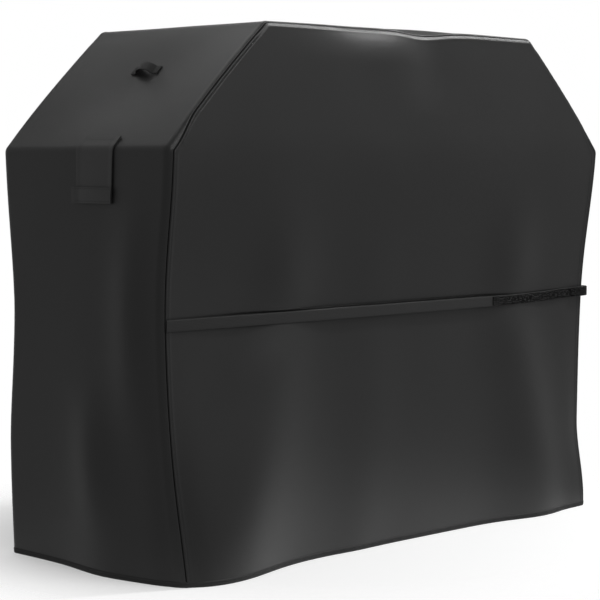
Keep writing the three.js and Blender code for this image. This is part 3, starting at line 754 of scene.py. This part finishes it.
def panel(name, side, node, others):
    crown = HEIGHT - TOP_SEAM - SEAM_GAP / 2
    strap_low, strap_high = STRAP_Z - STRAP_WIDTH / 2, STRAP_Z + STRAP_WIDTH / 2
    stretches = [
        (strap_low - 16, CELL),
        (strap_high + 18, STRAP_CELL),
        (SHOULDER[1] - 10, CELL),
        (SHOULDER[1] + 30, SHOULDER_CELL),
        (crown - EDGE_STEPS[-1], CELL),
    ]
    zs = [SHEET_LOW_Z]
    for end, step in stretches:
        zs.extend(between(zs[-1], end, step)[1:])
    zs = np.append(zs[:-1], crown - EDGE_STEPS[::-1])
    count = int(round(2 * HALF_WIDTH / CELL))
    rows = []
    for z in zs:
        steps = seam_half_width(z) - EDGE_STEPS
        middle = np.linspace(-steps[-1], steps[-1], count)[1:-1]
        rows.append(np.concatenate([-steps, middle, steps[::-1]]))
    x = np.array(rows)
    z = np.broadcast_to(zs[:, None], x.shape)
    p, n = on_panel(side, x, z)
    depth, _, _, along = from_outline(x, z)
    stitch = (0.3 + 0.7 * upper(along)) * (1 - 0.9 * smooth((z - HEIGHT + 45) / 25))
    high = seam_relief(from_seam(depth, along), along, stitch) + soft_relief(x, z)
    at_ends = smooth((np.abs(x + 60) - 300) / 250)
    bite = STRAP_BITE * (bump(z, strap_high + 1, 3) + 0.6 * bump(z, STRAP_Z, 13))
    high = high - (1 - 0.75 * at_ends) * bite
    made = draped_sheet(name, p, n, high - CLOTH, high, stack(x, z), cloth)
    hand_over(made, "shell", "cloth", node)
    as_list(others)


def whole_outline():
    """The band's outline from the left hem over the top to the right hem."""
    zs = np.concatenate([
        between(SHEET_LOW_Z, VENT_LOW_Z, CELL),
        between(VENT_LOW_Z, VENT_HIGH_Z, CELL)[1:],
        [SHOULDER[1] - 0.2],
    ])
    right = np.vstack([
        wall(1, zs),
        fold(1, SHOULDER, np.linspace(0, SLOPE_NORMAL, 7)),
        slope(1, between(0, SLOPE_LENGTH, CELL))[1:-1],
        fold(1, RIDGE, np.linspace(SLOPE_NORMAL, math.pi / 2, 7)),
    ])
    left = right * (-1, 1, -1, 1)
    crown = top(between(-RIDGE[0], RIDGE[0], CELL))[1:-1]
    return np.vstack([left, crown, right[::-1]])


OUTLINE = whole_outline()
OUTLINE_LENGTH = lengths(OUTLINE[:, :2])
OUTLINE_PLACE = from_outline(OUTLINE[:, 0], OUTLINE[:, 1])[3]
OUTLINE_HALF = band_half(OUTLINE_PLACE)
# A soft crest along the top, behind its front edge: its height, place and size.
TOP_CREST, CREST_X, CREST_Y, CREST_LENGTH, CREST_WIDTH = 9, 120, -205, 230, 48
HOLD_FADE = 60  # beside the vent window the band's cells keep their place over this width


def band():
    vent = [FLAP_Y - VENT_WIDTH / 2, FLAP_Y + VENT_WIDTH / 2]
    edge = OUTLINE_HALF[:, None] - SEAM_GAP / 2 - EDGE_STEPS
    columns = np.concatenate([
        between(-edge[0, -1], vent[0], CELL)[1:],
        between(*vent, CELL)[1:],
        between(vent[1], edge[0, -1], CELL)[1:-1],
    ])
    hold = np.clip(1 - (np.abs(columns - FLAP_Y) - VENT_WIDTH / 2) / HOLD_FADE, 0, 1)
    inner = columns * (hold + (1 - hold) * edge[:, -1:] / edge[0, -1])
    ws = np.hstack([-edge, inner, edge[:, ::-1]])
    p, n = on_band(OUTLINE, ws)
    along = np.broadcast_to(OUTLINE_LENGTH[:, None], ws.shape)
    distance = OUTLINE_HALF[:, None] - np.abs(ws)
    high = seam_relief(distance, along, 0) + soft_relief(along, ws)
    crest = bump(p[..., 0], CREST_X, CREST_LENGTH) * bump(p[..., 1], CREST_Y, CREST_WIDTH)
    high = high + TOP_CREST * crest * n[..., 2] ** 4
    row_z = (OUTLINE[:-1, 1] + OUTLINE[1:, 1]) / 2
    on_wall = np.abs(OUTLINE[:-1, 0]) > HALF_WIDTH - 1
    row_in = on_wall & (row_z > VENT_LOW_Z) & (row_z < VENT_HIGH_Z)
    column_in = np.abs((ws[0, :-1] + ws[0, 1:]) / 2 - FLAP_Y) < VENT_WIDTH / 2
    keep = ~(row_in[:, None] & column_in[None, :])
    made = draped_sheet("top_band", p, n, high - CLOTH, high, stack(ws, along), cloth, keep)
    hand_over(made, "shell", "cloth", "left_wall", "left_slope", "top_panel", "right_slope", "right_wall")
    return made


top_band = band()

# ---- Hem ----

LOOP_CELL = 7
HEM_STITCH_Z = 6.9
# Section of the hem's binding, folded over the cloth's edge: (out from the cloth, height).
HEM_PROFILE = [
    (0.1, 0.9), (1.0, 1.6), (1.6, 3.4), (1.5, 5.2), (0.7, 6.6), (0.7, 7.2), (1.7, 8.6), (1.9, 9.8),
    (1.1, 11.6), (0.0, 12.6), (-1.6, 12.6), (-2.8, 12), (-3.0, 8), (-3.0, 4), (-2.8, 1.4),
    (-1.6, 0.2), (-0.6, 0.0),
]


def round_loop():
    """The prism's plan, anticlockwise from the front left: rows of (x, y, nx, ny)."""
    cx, cy = HALF_WIDTH - WALL_EDGE, HALF_DEPTH - WALL_EDGE
    xs, ys = between(-cx, cx, LOOP_CELL), between(-cy, cy, LOOP_CELL)
    rows = []
    for nx, ny, run in ((0, -1, xs), (1, 0, ys), (0, 1, xs[::-1]), (-1, 0, ys[::-1])):
        x, y = nx * HALF_WIDTH + abs(ny) * run, ny * HALF_DEPTH + abs(nx) * run
        rows.append(stack(x, y, nx, ny))
        angles = math.atan2(ny, nx) + np.linspace(0, math.pi / 2, 10)[1:-1]
        out = stack(np.cos(angles), np.sin(angles))
        centre = np.array([(nx - ny) * cx, (nx + ny) * cy])
        rows.append(np.hstack([centre + WALL_EDGE * out, out]))
    return np.vstack(rows)


def around(loop, z, off):
    """Draped points of the plan at height z, moved out by off."""
    n = stack(loop[:, 2], loop[:, 3], 0.0)
    return drape(stack(loop[:, 0], loop[:, 1], z)) + n * off, n


LOOP = round_loop()


def hem():
    s = lengths(np.vstack([LOOP[:, :2], LOOP[:1, :2]]))[:-1]
    ripple = 0.3 * np.sin(s / 7.3 + np.sin(s / 41)) + 0.25 * np.sin(s / 17.0)
    rings, uv = [], []
    for off, z in HEM_PROFILE:
        wobble = ripple * (0.4 if 1 < z < 11 and off > 0 else 0.15)
        points, n = around(LOOP, z, off)
        rings.append(points + n * wobble[:, None])
        uv.append(stack(s, z if off > 0 else -z))
    faces = grid_faces(len(HEM_PROFILE), len(LOOP), wrap_rows=True, wrap_columns=True)
    made = make_mesh("hem_binding", *flattened(np.array(rings), faces, np.array(uv)), binding)
    hand_over(made, "shell", "binding", "hem_front", "hem_rear", "hem_left", "hem_right")
    points, n = around(np.vstack([LOOP, LOOP[:1]]), HEM_STITCH_Z, 0.75)
    row = join_parts("hem_stitching", [stitch_parts(points, n, pitch=4.6, length=3.5)], thread)
    hand_over(row, "shell", "binding")
    return made, row


hem_binding, hem_stitching = hem()

# ---- Seam stitching and the bindings inside ----

ABOVE_HEM = OUTLINE[:, 1] > HEM_HEIGHT + 2
BINDING_PLACES = np.array([6, 13, 20])  # lengths of cloth from the seam, across the binding inside


def seam_path(side, distance):
    """Draped points and normals of a line on a panel, that length of cloth from its seam."""
    rows, place = OUTLINE[ABOVE_HEM], OUTLINE_PLACE[ABOVE_HEM]
    radius, turn = edge_radius(place), seam_turn(place)
    left = np.maximum(turn - distance / radius, 0)
    inset = radius * (1 - np.sin(left)) + np.maximum(0, distance - radius * turn)
    p, n = on_panel(side, rows[:, 0] - rows[:, 2] * inset, rows[:, 1] - rows[:, 3] * inset)
    return drape(p), n


def inner_binding(name, side, node):
    """The folded tape over a seam's raw edges, on the inside of the band."""
    p, n = on_band(OUTLINE, (OUTLINE_HALF[:, None] - BINDING_PLACES) * side)
    section = [(0, -5.0), (1, -4.8), (2, -5.0), (2, -6.6), (1, -6.8), (0, -6.6)]
    s = OUTLINE_LENGTH
    wave = 0.25 * np.sin(s / 19)
    rings, uv = [], []
    for k, off in section:
        rings.append(drape(p[:, k]) + n[:, k] * (off + wave)[:, None])
        uv.append(stack(s, BINDING_PLACES[k] - BINDING_PLACES[0]))
    rings, uv = np.stack(rings, 1), np.stack(uv, 1)
    faces = tube_faces(len(s), len(section), [[0, 1, 4, 5], [1, 2, 3, 4]])
    made = make_mesh(name, *flattened(rings, faces, uv), binding)
    hand_over(made, "shell", "binding", node)
    return made


panel_extras = {}
for word, side in (("front", -1), ("rear", 1)):
    points, normals = seam_path(side, STITCH_FROM_SEAM)
    deep = upper(OUTLINE_PLACE[ABOVE_HEM])[:, None]
    points = points + normals * (WELT - 0.3 - 0.6 * deep)
    stitching = join_parts(f"{word}_seam_stitching", [stitch_parts(points, normals)], thread)
    hand_over(stitching, "shell", "cloth")
    inside = inner_binding(f"{word}_inner_binding", side, f"{word}_seam_binding")
    panel_extras[word] = [stitching, inside]

panel("front_cloth", -1, "front_panel", panel_extras["front"])
panel("rear_cloth", 1, "rear_panel", panel_extras["rear"])

# ---- Closing strap ----

STRAP_OFF = 1.0
UP = np.array([0.0, 0.0, 1.0])
CORNER_STAND_OFF = 22  # how far the loose strap stands off the cover's corner
REAR_STAND_OFF = 6
STRAP_CORNER_RISE = 9  # and how far it rises there, at the front
LAST_REST_X = 672  # the strap leaves the panel for the corner here
FRONT_TAIL_OFF = 4.0
REAR_TAIL_OFF = FRONT_TAIL_OFF + WEBBING + 2 * TAPE + 1.1
TAIL_START = HALF_DEPTH - 24
TAIL_LANDS = TAIL_START - 34  # the tail lies along the wall from here on
FIRM_FOLD = 5  # the strap rests on folds that stand out more than this
TAPE_OFF = WEBBING / 2 + TAPE / 2 + 0.1
HOOK_TAPE_POINTS = 22  # points of the strap's path that the hook tape covers, at its end
BLEND_START, BLEND_END = (690, 262), (760, 225)  # the hinge of a tail, (x, y) on the rear side


def strap_path(side, folds, tail_off, tail_length, stand_off):
    """Middle of a strap: from its seam along the panel, round the right-hand corner and down its tail.
    It is taut, so it rests on the cloth at its ends and on the folds, and runs straight between."""
    touched = sorted(strap_x for _, strap_x, _, _, strap_out in folds if strap_out > FIRM_FOLD)
    rests = np.array([-HALF_WIDTH + WALL_SEAM + 2, *touched, LAST_REST_X])
    p, n = on_panel(side, rests, np.full(rests.shape, STRAP_Z))
    held = drape(p) + n * (STRAP_OFF + WEBBING / 2)
    xs = between(rests[0], rests[-1], 12)
    along_panel = soften(read_along(xs, rests, held), 3)
    ys = between(side * TAIL_LANDS, side * (TAIL_START - tail_length), 10)
    p, n = on_band(wall(1, STRAP_Z), ys)
    along_wall = drape(p[0]) + n[0] * (tail_off + WEBBING / 2)
    a, b = along_panel[-1], along_wall[0]
    corner = np.array([b[0] + stand_off, a[1] + side * stand_off, STRAP_Z])
    t = np.linspace(0, 1, 26)[1:-1, None]
    bend = a * (1 - t) ** 3 + 3 * (a + 0.9 * (corner - a)) * t * (1 - t) ** 2
    bend = bend + 3 * (b + 0.8 * (corner - b)) * t**2 * (1 - t) + b * t**3
    path = np.vstack([along_panel, bend, along_wall])
    if side < 0:
        from_corner = np.linalg.norm(path - corner, axis=1)
        path[:, 2] = path[:, 2] + STRAP_CORNER_RISE * bump(from_corner, 0, 190)
    return soften(resample(path, 5), 6)


def tied_ribbon(name, path, width, thickness, material, side, slot, *nodes):
    """A strap or tape swept along path, standing in for the CAD nodes, which it hides."""
    made = ribbon(name, path, UP, width, thickness, material)
    start, end = ((x * MM, side * y * MM, STRAP_Z * MM) for x, y in (BLEND_START, BLEND_END))
    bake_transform(made)
    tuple(start)
    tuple(end)
    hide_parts(*nodes)


def offset_path(path, off):
    tangent = unit(np.gradient(path, axis=0))
    out = np.cross(tangent, UP)
    centre = np.array([0.0, 0.0, STRAP_Z])
    out = out * np.sign(np.sum(out * (path - centre), -1, keepdims=True).mean())
    return path + out * off


front_path = strap_path(-1, FRONT_FOLDS, FRONT_TAIL_OFF, FRONT_TAIL_LENGTH, CORNER_STAND_OFF)
rear_path = strap_path(1, REAR_FOLDS, REAR_TAIL_OFF, REAR_TAIL_LENGTH, REAR_STAND_OFF)

for word, side, path in (("front", -1, front_path), ("rear", 1, rear_path)):
    name, nodes = f"{word}_strap_webbing", (f"{word}_strap", f"{word}_strap_tail")
    tied_ribbon(name, path, STRAP_WIDTH, WEBBING, webbing, side, "webbing", *nodes)

tape_path = offset_path(front_path, TAPE_OFF)
tape_path = tape_path[tape_path[:, 0] > LOOP_TAPE_START_X]
nodes = "front_loop_tape", "front_tail_loop_tape"
tied_ribbon("front_loop_nap", tape_path, TAPE_WIDTH, TAPE, loop_tape, -1, "hook_and_loop", *nodes)

hook_path = offset_path(rear_path, -TAPE_OFF)[-HOOK_TAPE_POINTS:]
rear_hooks = ribbon("rear_tail_hook_nap", hook_path, UP, TAPE_WIDTH, TAPE, hook_tape)
hand_over(rear_hooks, "rear_tail", "hook_and_loop", "rear_tail_hook_tape")

# ---- Vent flaps ----

FLAP_OFF = 1.0
FLAP_OFF_LOW = 1.5
FLAP_THICK = 1.8
FLAP_BELLY = 3.0  # how far the middle of a flap bulges out
FLAP_TOP = FLAP_ON_SLOPE - SHOULDER_ARC / 2
FLAP_LOW_Z = SHOULDER_Z - FLAP_DROP
FLAP_HEM_THICK = 1.9
HEM_STITCH_IN = 3.5  # the stitching's distance from the hem band's edges
STITCH = {"pitch": 4.2, "length": 3.1}


def flap(word, side):
    """A vent flap: its cloth, the stitching that holds it, its hem band and that band's stitching."""
    outline = np.vstack([
        slope(side, [FLAP_TOP, 0]),
        fold(side, SHOULDER, np.linspace(SLOPE_NORMAL, 0, 9))[1:],
        wall(side, FLAP_LOW_Z),
    ])
    s = lengths(outline[:, :2])
    t = s / s[-1]
    half = FLAP_WIDTH / 2
    ys = edged(-half, half, [0, 0.6, 1.6, 3, 5], 6)
    p, n = on_band(outline, FLAP_Y + ys)
    off = FLAP_OFF + (FLAP_OFF_LOW - FLAP_OFF) * smooth((s - 12) / (s[-1] - 30))
    curl = FLAP_BELLY * smooth((t - 0.3) / 0.5)[:, None] * (1 - (ys / half) ** 2)
    sewn = -0.9 * (bump(s, 4, 1.5) + bump(s, 9, 1.5))[:, None]
    turned = 0.9 * (1 - smooth((half - np.abs(ys) - 5) / 1.5))
    doubled = 1.2 * (1 - smooth((s - 11.5) / 2.5))[:, None]
    low = off[:, None] + curl
    high = low + FLAP_THICK + turned + sewn + doubled
    # Painted light: the flap is made of the copy of the cloth painted lighter.
    made = draped_sheet(f"{word}_flap_cloth_painted_lighter", p, n, low, high, stack(ys, s[:, None]), flap_cloth_painted_lighter)
    sewn_at = slope(side, FLAP_TOP - FLAP_SEWN_EDGE)[0]
    free_at = fold(side, SHOULDER, SLOPE_NORMAL * 0.35)[0]
    start, end = ((at[0] * MM, FLAP_Y * MM, at[1] * MM) for at in (sewn_at, free_at))
    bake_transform(made)
    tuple(start)
    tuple(end)
    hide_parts(f"{word}_flap_sewn_edge", f"{word}_vent_flap")

    rows = []
    for distance in (4.0, 9.0):
        q, m = on_band(slope(side, FLAP_TOP - distance), FLAP_Y + between(-half + 2, half - 2, 4))
        rise = FLAP_OFF + FLAP_THICK + 0.6
        rows.append(stitch_parts(drape(q[0]) + m[0] * rise, m[0], **STITCH))
    fixed = join_parts(f"{word}_flap_stitching", rows, thread)
    hand_over(fixed, "shell", "cloth")

    band_top = FLAP_LOW_Z + FLAP_BAND
    stitch_heights = FLAP_LOW_Z + HEM_STITCH_IN, band_top - HEM_STITCH_IN
    heights = edged(FLAP_LOW_Z - 1, band_top, [0, 0.5, 1.2, 2.2, 4], 5)
    ys = edged(-half - 1.0, half + 11, [0, 0.5, 1.2, 2.4, 4], 5)
    p, n = on_band(wall(side, heights), FLAP_Y + ys)
    lift = FLAP_OFF_LOW + FLAP_THICK + 1.3 + FLAP_BELLY * (1 - np.clip(ys / half, -1, 1) ** 2)
    end_curl = 3 * smooth((ys - half + 16) / 22)
    belly = 0.7 * np.sin(math.pi * (heights - FLAP_LOW_Z) / FLAP_BAND)
    low = lift + end_curl + belly[:, None]
    pressed = sum(bump(heights, z, 1.2) for z in stitch_heights)
    high = low + FLAP_HEM_THICK - 0.4 * pressed[:, None]
    uv = stack(ys, heights[:, None])
    # The hem band takes the same copy of the cloth painted lighter, which is painted light.
    lower = draped_sheet(f"{word}_flap_hem", p, n, low, high, uv, flap_cloth_painted_lighter)
    hand_over(lower, f"{word}_flap", "binding", f"{word}_flap_hem_band")
    rows = []
    for z in stitch_heights:
        q, m = on_band(wall(side, z), FLAP_Y + ys[2:-2])
        rise = (lift + end_curl)[2:-2] + FLAP_HEM_THICK + 0.1
        rows.append(stitch_parts(drape(q[0]) + m[0] * rise[:, None], m[0], **STITCH))
    swinging = join_parts(f"{word}_flap_hem_stitching", rows, thread)
    hand_over(swinging, f"{word}_flap", "binding")
    flat, others = (FLAP_WIDTH * MM, s[-1] * MM), [lower, fixed, swinging]
    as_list(others)


WIRE_PITCH, WIRE_RADIUS, WIRE_SIDES = 3.2, 0.36, 5
WIRE_DEPTH = -CLOTH - 1.6


def strand(p, n, phase):
    """One thread of the mesh, through its crossings p, from side to side of the weave."""
    crossings = np.arange(len(p))
    fine = np.linspace(0, len(p) - 1, 3 * (len(p) - 1) + 1)
    sway = np.interp(fine, crossings, WIRE_RADIUS * 0.95 * np.cos(math.pi * crossings + phase))
    up = read_along(fine, crossings, n)
    centre = read_along(fine, crossings, p) + up * (WIRE_DEPTH + sway)[:, None]
    across = unit(np.cross(unit(np.gradient(centre, axis=0)), up))
    angles = np.arange(WIRE_SIDES) * 2 * math.pi / WIRE_SIDES
    cosine, sine = np.cos(angles)[None, :, None], np.sin(angles)[None, :, None]
    verts = centre[:, None] + (across[:, None] * cosine + up[:, None] * sine) * WIRE_RADIUS
    faces = grid_faces(len(fine), WIRE_SIDES, wrap_columns=True)
    return flattened(verts, faces, stack(fine[:, None], angles))


def vent(word, side):
    """Woven mesh behind the window, one thread over and one under."""
    half = VENT_WIDTH / 2 + VENT_MARGIN
    low, high = VENT_LOW_Z - VENT_MARGIN, VENT_HIGH_Z + VENT_MARGIN
    ys = FLAP_Y + between(-half, half, WIRE_PITCH)
    zs = between(low, high, WIRE_PITCH)
    parts = []
    for i, z in enumerate(zs):
        p, n = on_band(wall(side, z), ys)
        parts.append(strand(drape(p[0]), n[0], math.pi * i))
    for j, y in enumerate(ys):
        p, n = on_band(wall(side, zs), [y])
        parts.append(strand(drape(p[:, 0]), n[:, 0], math.pi * (j + 1)))
    made = join_parts(f"{word}_vent_netting", parts, wire)
    hand_over(made, "shell", "mesh", f"{word}_vent_mesh")


def handle(word, side):
    """A pull handle: an arch of webbing with a tab at each end, and the box stitching on the tabs."""
    base = slope(side, HANDLE_UP_SLOPE - SHOULDER_ARC / 2)[0]
    normal = np.array([base[2], 0, base[3]])
    along = np.array([0.0, side, 0.0])
    up = np.cross(along, normal)
    seat = drape(np.array([base[0], 0.0, base[1]])) + normal * 2.0
    inner = HANDLE_SPAN / 2
    rise = HANDLE_RISE - WEBBING / 2
    t = np.linspace(0, math.pi, 31)
    arch = stack(-(inner + 1) * np.cos(t), rise * np.sin(t) ** 0.8)
    tab = np.array([HANDLE_LENGTH / 2, inner + 4])
    left, right = stack(-tab, WEBBING / 2), stack(tab[::-1], WEBBING / 2)
    flat = soften(resample(np.vstack([left, arch[2:-2], right]), 1.5), 8)
    centre = seat + flat[:, :1] * along + flat[:, 1:] * normal
    made = ribbon(f"{word}_handle_webbing", centre, up, HANDLE_WIDTH, WEBBING, webbing)
    hand_over(made, "shell", "webbing", f"{word}_pull_handle")
    half = HANDLE_WIDTH / 2 - 3
    near, far = inner + 5.5, HANDLE_LENGTH / 2 - 3
    box = [(near, -half), (far, -half), (far, half), (near, half), (near, -half)]
    cross = [[(near, -half), (far, half)], [(near, half), (far, -half)]]
    surface = seat + normal * (WEBBING + 0.1)
    rows = []
    for end in (-1, 1):
        for line in [box, *cross]:
            row = resample(np.array(line, float), 1.0)
            points = surface + end * row[:, :1] * along + row[:, 1:] * up
            normals = np.tile(normal, (len(points), 1))
            rows.append(stitch_parts(points, normals, pitch=3.2, length=2.5, radius=0.38))
    tacks = join_parts(f"{word}_handle_stitching", rows, thread)
    hand_over(tacks, "shell", "webbing")


for word, side in (("left", -1), ("right", 1)):
    flap(word, side)
    vent(word, side)
    handle(word, side)

# ---- Care label ----

LABEL_X = -620, -585
LABEL_Z = HEM_HEIGHT + 4, HEM_HEIGHT + 60
LABEL_DEPTH, LABEL_THICK = 10.6, 0.5  # the depth is measured inwards of the panel's outer face


def care_label():
    """A blank label that hangs inside the rear panel, at the hem."""
    x, z = np.meshgrid(np.linspace(*LABEL_X, 9), np.linspace(*LABEL_Z, 15))
    p, n = on_panel(1, x, z)
    outer = -LABEL_DEPTH + 0.8 * np.sin((z - HEM_HEIGHT) / 18) + 0.4 * np.sin(x / 9)
    made = draped_sheet("blank_care_label", p, n, outer - LABEL_THICK, outer, stack(x, z), satin)
    hand_over(made, "shell", "label", "care_label")


care_label()

# ---- Floor, light and camera ----


def softbox(name, place, target, width, height, power):
    data = bpy.data.lights.new(name, "AREA")
    data.shape = "RECTANGLE"
    data.size, data.size_y = width, height
    data.energy = power
    made = bpy.data.objects.new(name, data)
    scene.collection.objects.link(made)
    made.location = place
    made.rotation_mode = "QUATERNION"
    made.rotation_quaternion = (Vector(target) - made.location).to_track_quat("-Z", "Y")


FLOOR_SIZE = 6.0  # metres to each side
FLOOR_FADES = 0.6, 1.15  # metres from the middle, where the floor fades into the white backdrop


def floor():
    """A plain pale floor that fades into the backdrop. Its glow is the light of a white studio."""
    white = (1, 1, 1, 1)
    made = Finish("pale_floor", 0.75, Emission_Color=white, Emission_Strength=0.18)
    made.shader.inputs["Base Color"].default_value = (0.9, 0.9, 0.9, 1)
    place = made.node("ShaderNodeTexCoord").outputs["Object"]
    length = made.node("ShaderNodeVectorMath", {0: place}, operation="LENGTH").outputs["Value"]
    limits = {"Value": length, "From Min": FLOOR_FADES[0], "From Max": FLOOR_FADES[1]}
    fade = made.node("ShaderNodeMapRange", limits, interpolation_type="SMOOTHSTEP").outputs[0]
    clear = made.node("ShaderNodeBsdfTransparent").outputs[0]
    mix = made.node("ShaderNodeMixShader", {0: fade, 1: made.shader.outputs[0], 2: clear})
    made.tree.links.new(mix.outputs[0], made.tree.nodes["Material Output"].inputs["Surface"])
    corners = [(x * FLOOR_SIZE, y * FLOOR_SIZE, 0) for x, y in ((-1, -1), (1, -1), (1, 1), (-1, 1))]
    mesh = bpy.data.meshes.new("floor")
    mesh.from_pydata(corners, [], [(0, 1, 2, 3)])
    mesh.materials.append(made.material)
    ground = bpy.data.objects.new("floor", mesh)
    scene.collection.objects.link(ground)


def studio_light():
    """White all round as the camera sees it, and dimmer as a light."""
    world = bpy.data.worlds.new("studio")
    scene.world = world
    world.use_nodes = True
    nodes, links = world.node_tree.nodes, world.node_tree.links
    backdrop = nodes["Background"]
    backdrop.inputs["Color"].default_value = (1, 1, 1, 1)
    path_kind = nodes.new("ShaderNodeLightPath")
    strength = nodes.new("ShaderNodeMapRange")
    strength.inputs["To Min"].default_value = 0.34
    strength.inputs["To Max"].default_value = 1.0
    links.new(path_kind.outputs["Is Camera Ray"], strength.inputs["Value"])
    links.new(strength.outputs[0], backdrop.inputs["Strength"])


floor()
studio_light()

# Each softbox: name, place, what it faces, width, height and watts.
softbox("key", (4.6, -4.2, 3.6), (0.1, 0, 0.6), 1.6, 2.4, 18)
softbox("front_top", (0.5, -3.4, 5.0), (0, 0, 0.8), 3.0, 2.0, 104)
softbox("edge", (3.5, -1.5, 4.4), (0, -0.2, 1.1), 0.5, 0.5, 160)
softbox("rear_strip", (0.6, 1.6, 3.4), (0, -0.2, 1.1), 2.4, 0.3, 14)

CAMERA_PLACE = (-3.484, -3.372, 0.905)
CAMERA_TURN, CAMERA_DOWN = -45.333, 4.0145  # degrees
FOCAL_LENGTH, SENSOR_WIDTH = 118.58, 36

camera_data = bpy.data.cameras.new("camera")
camera_data.sensor_width = SENSOR_WIDTH
camera_data.lens = FOCAL_LENGTH
camera_data.clip_end = 100
camera = bpy.data.objects.new("camera", camera_data)
scene.collection.objects.link(camera)
camera.location = CAMERA_PLACE
camera.rotation_euler = (math.radians(90 - CAMERA_DOWN), 0, math.radians(CAMERA_TURN))
scene.camera = camera

scene.view_settings.view_transform = "Standard"
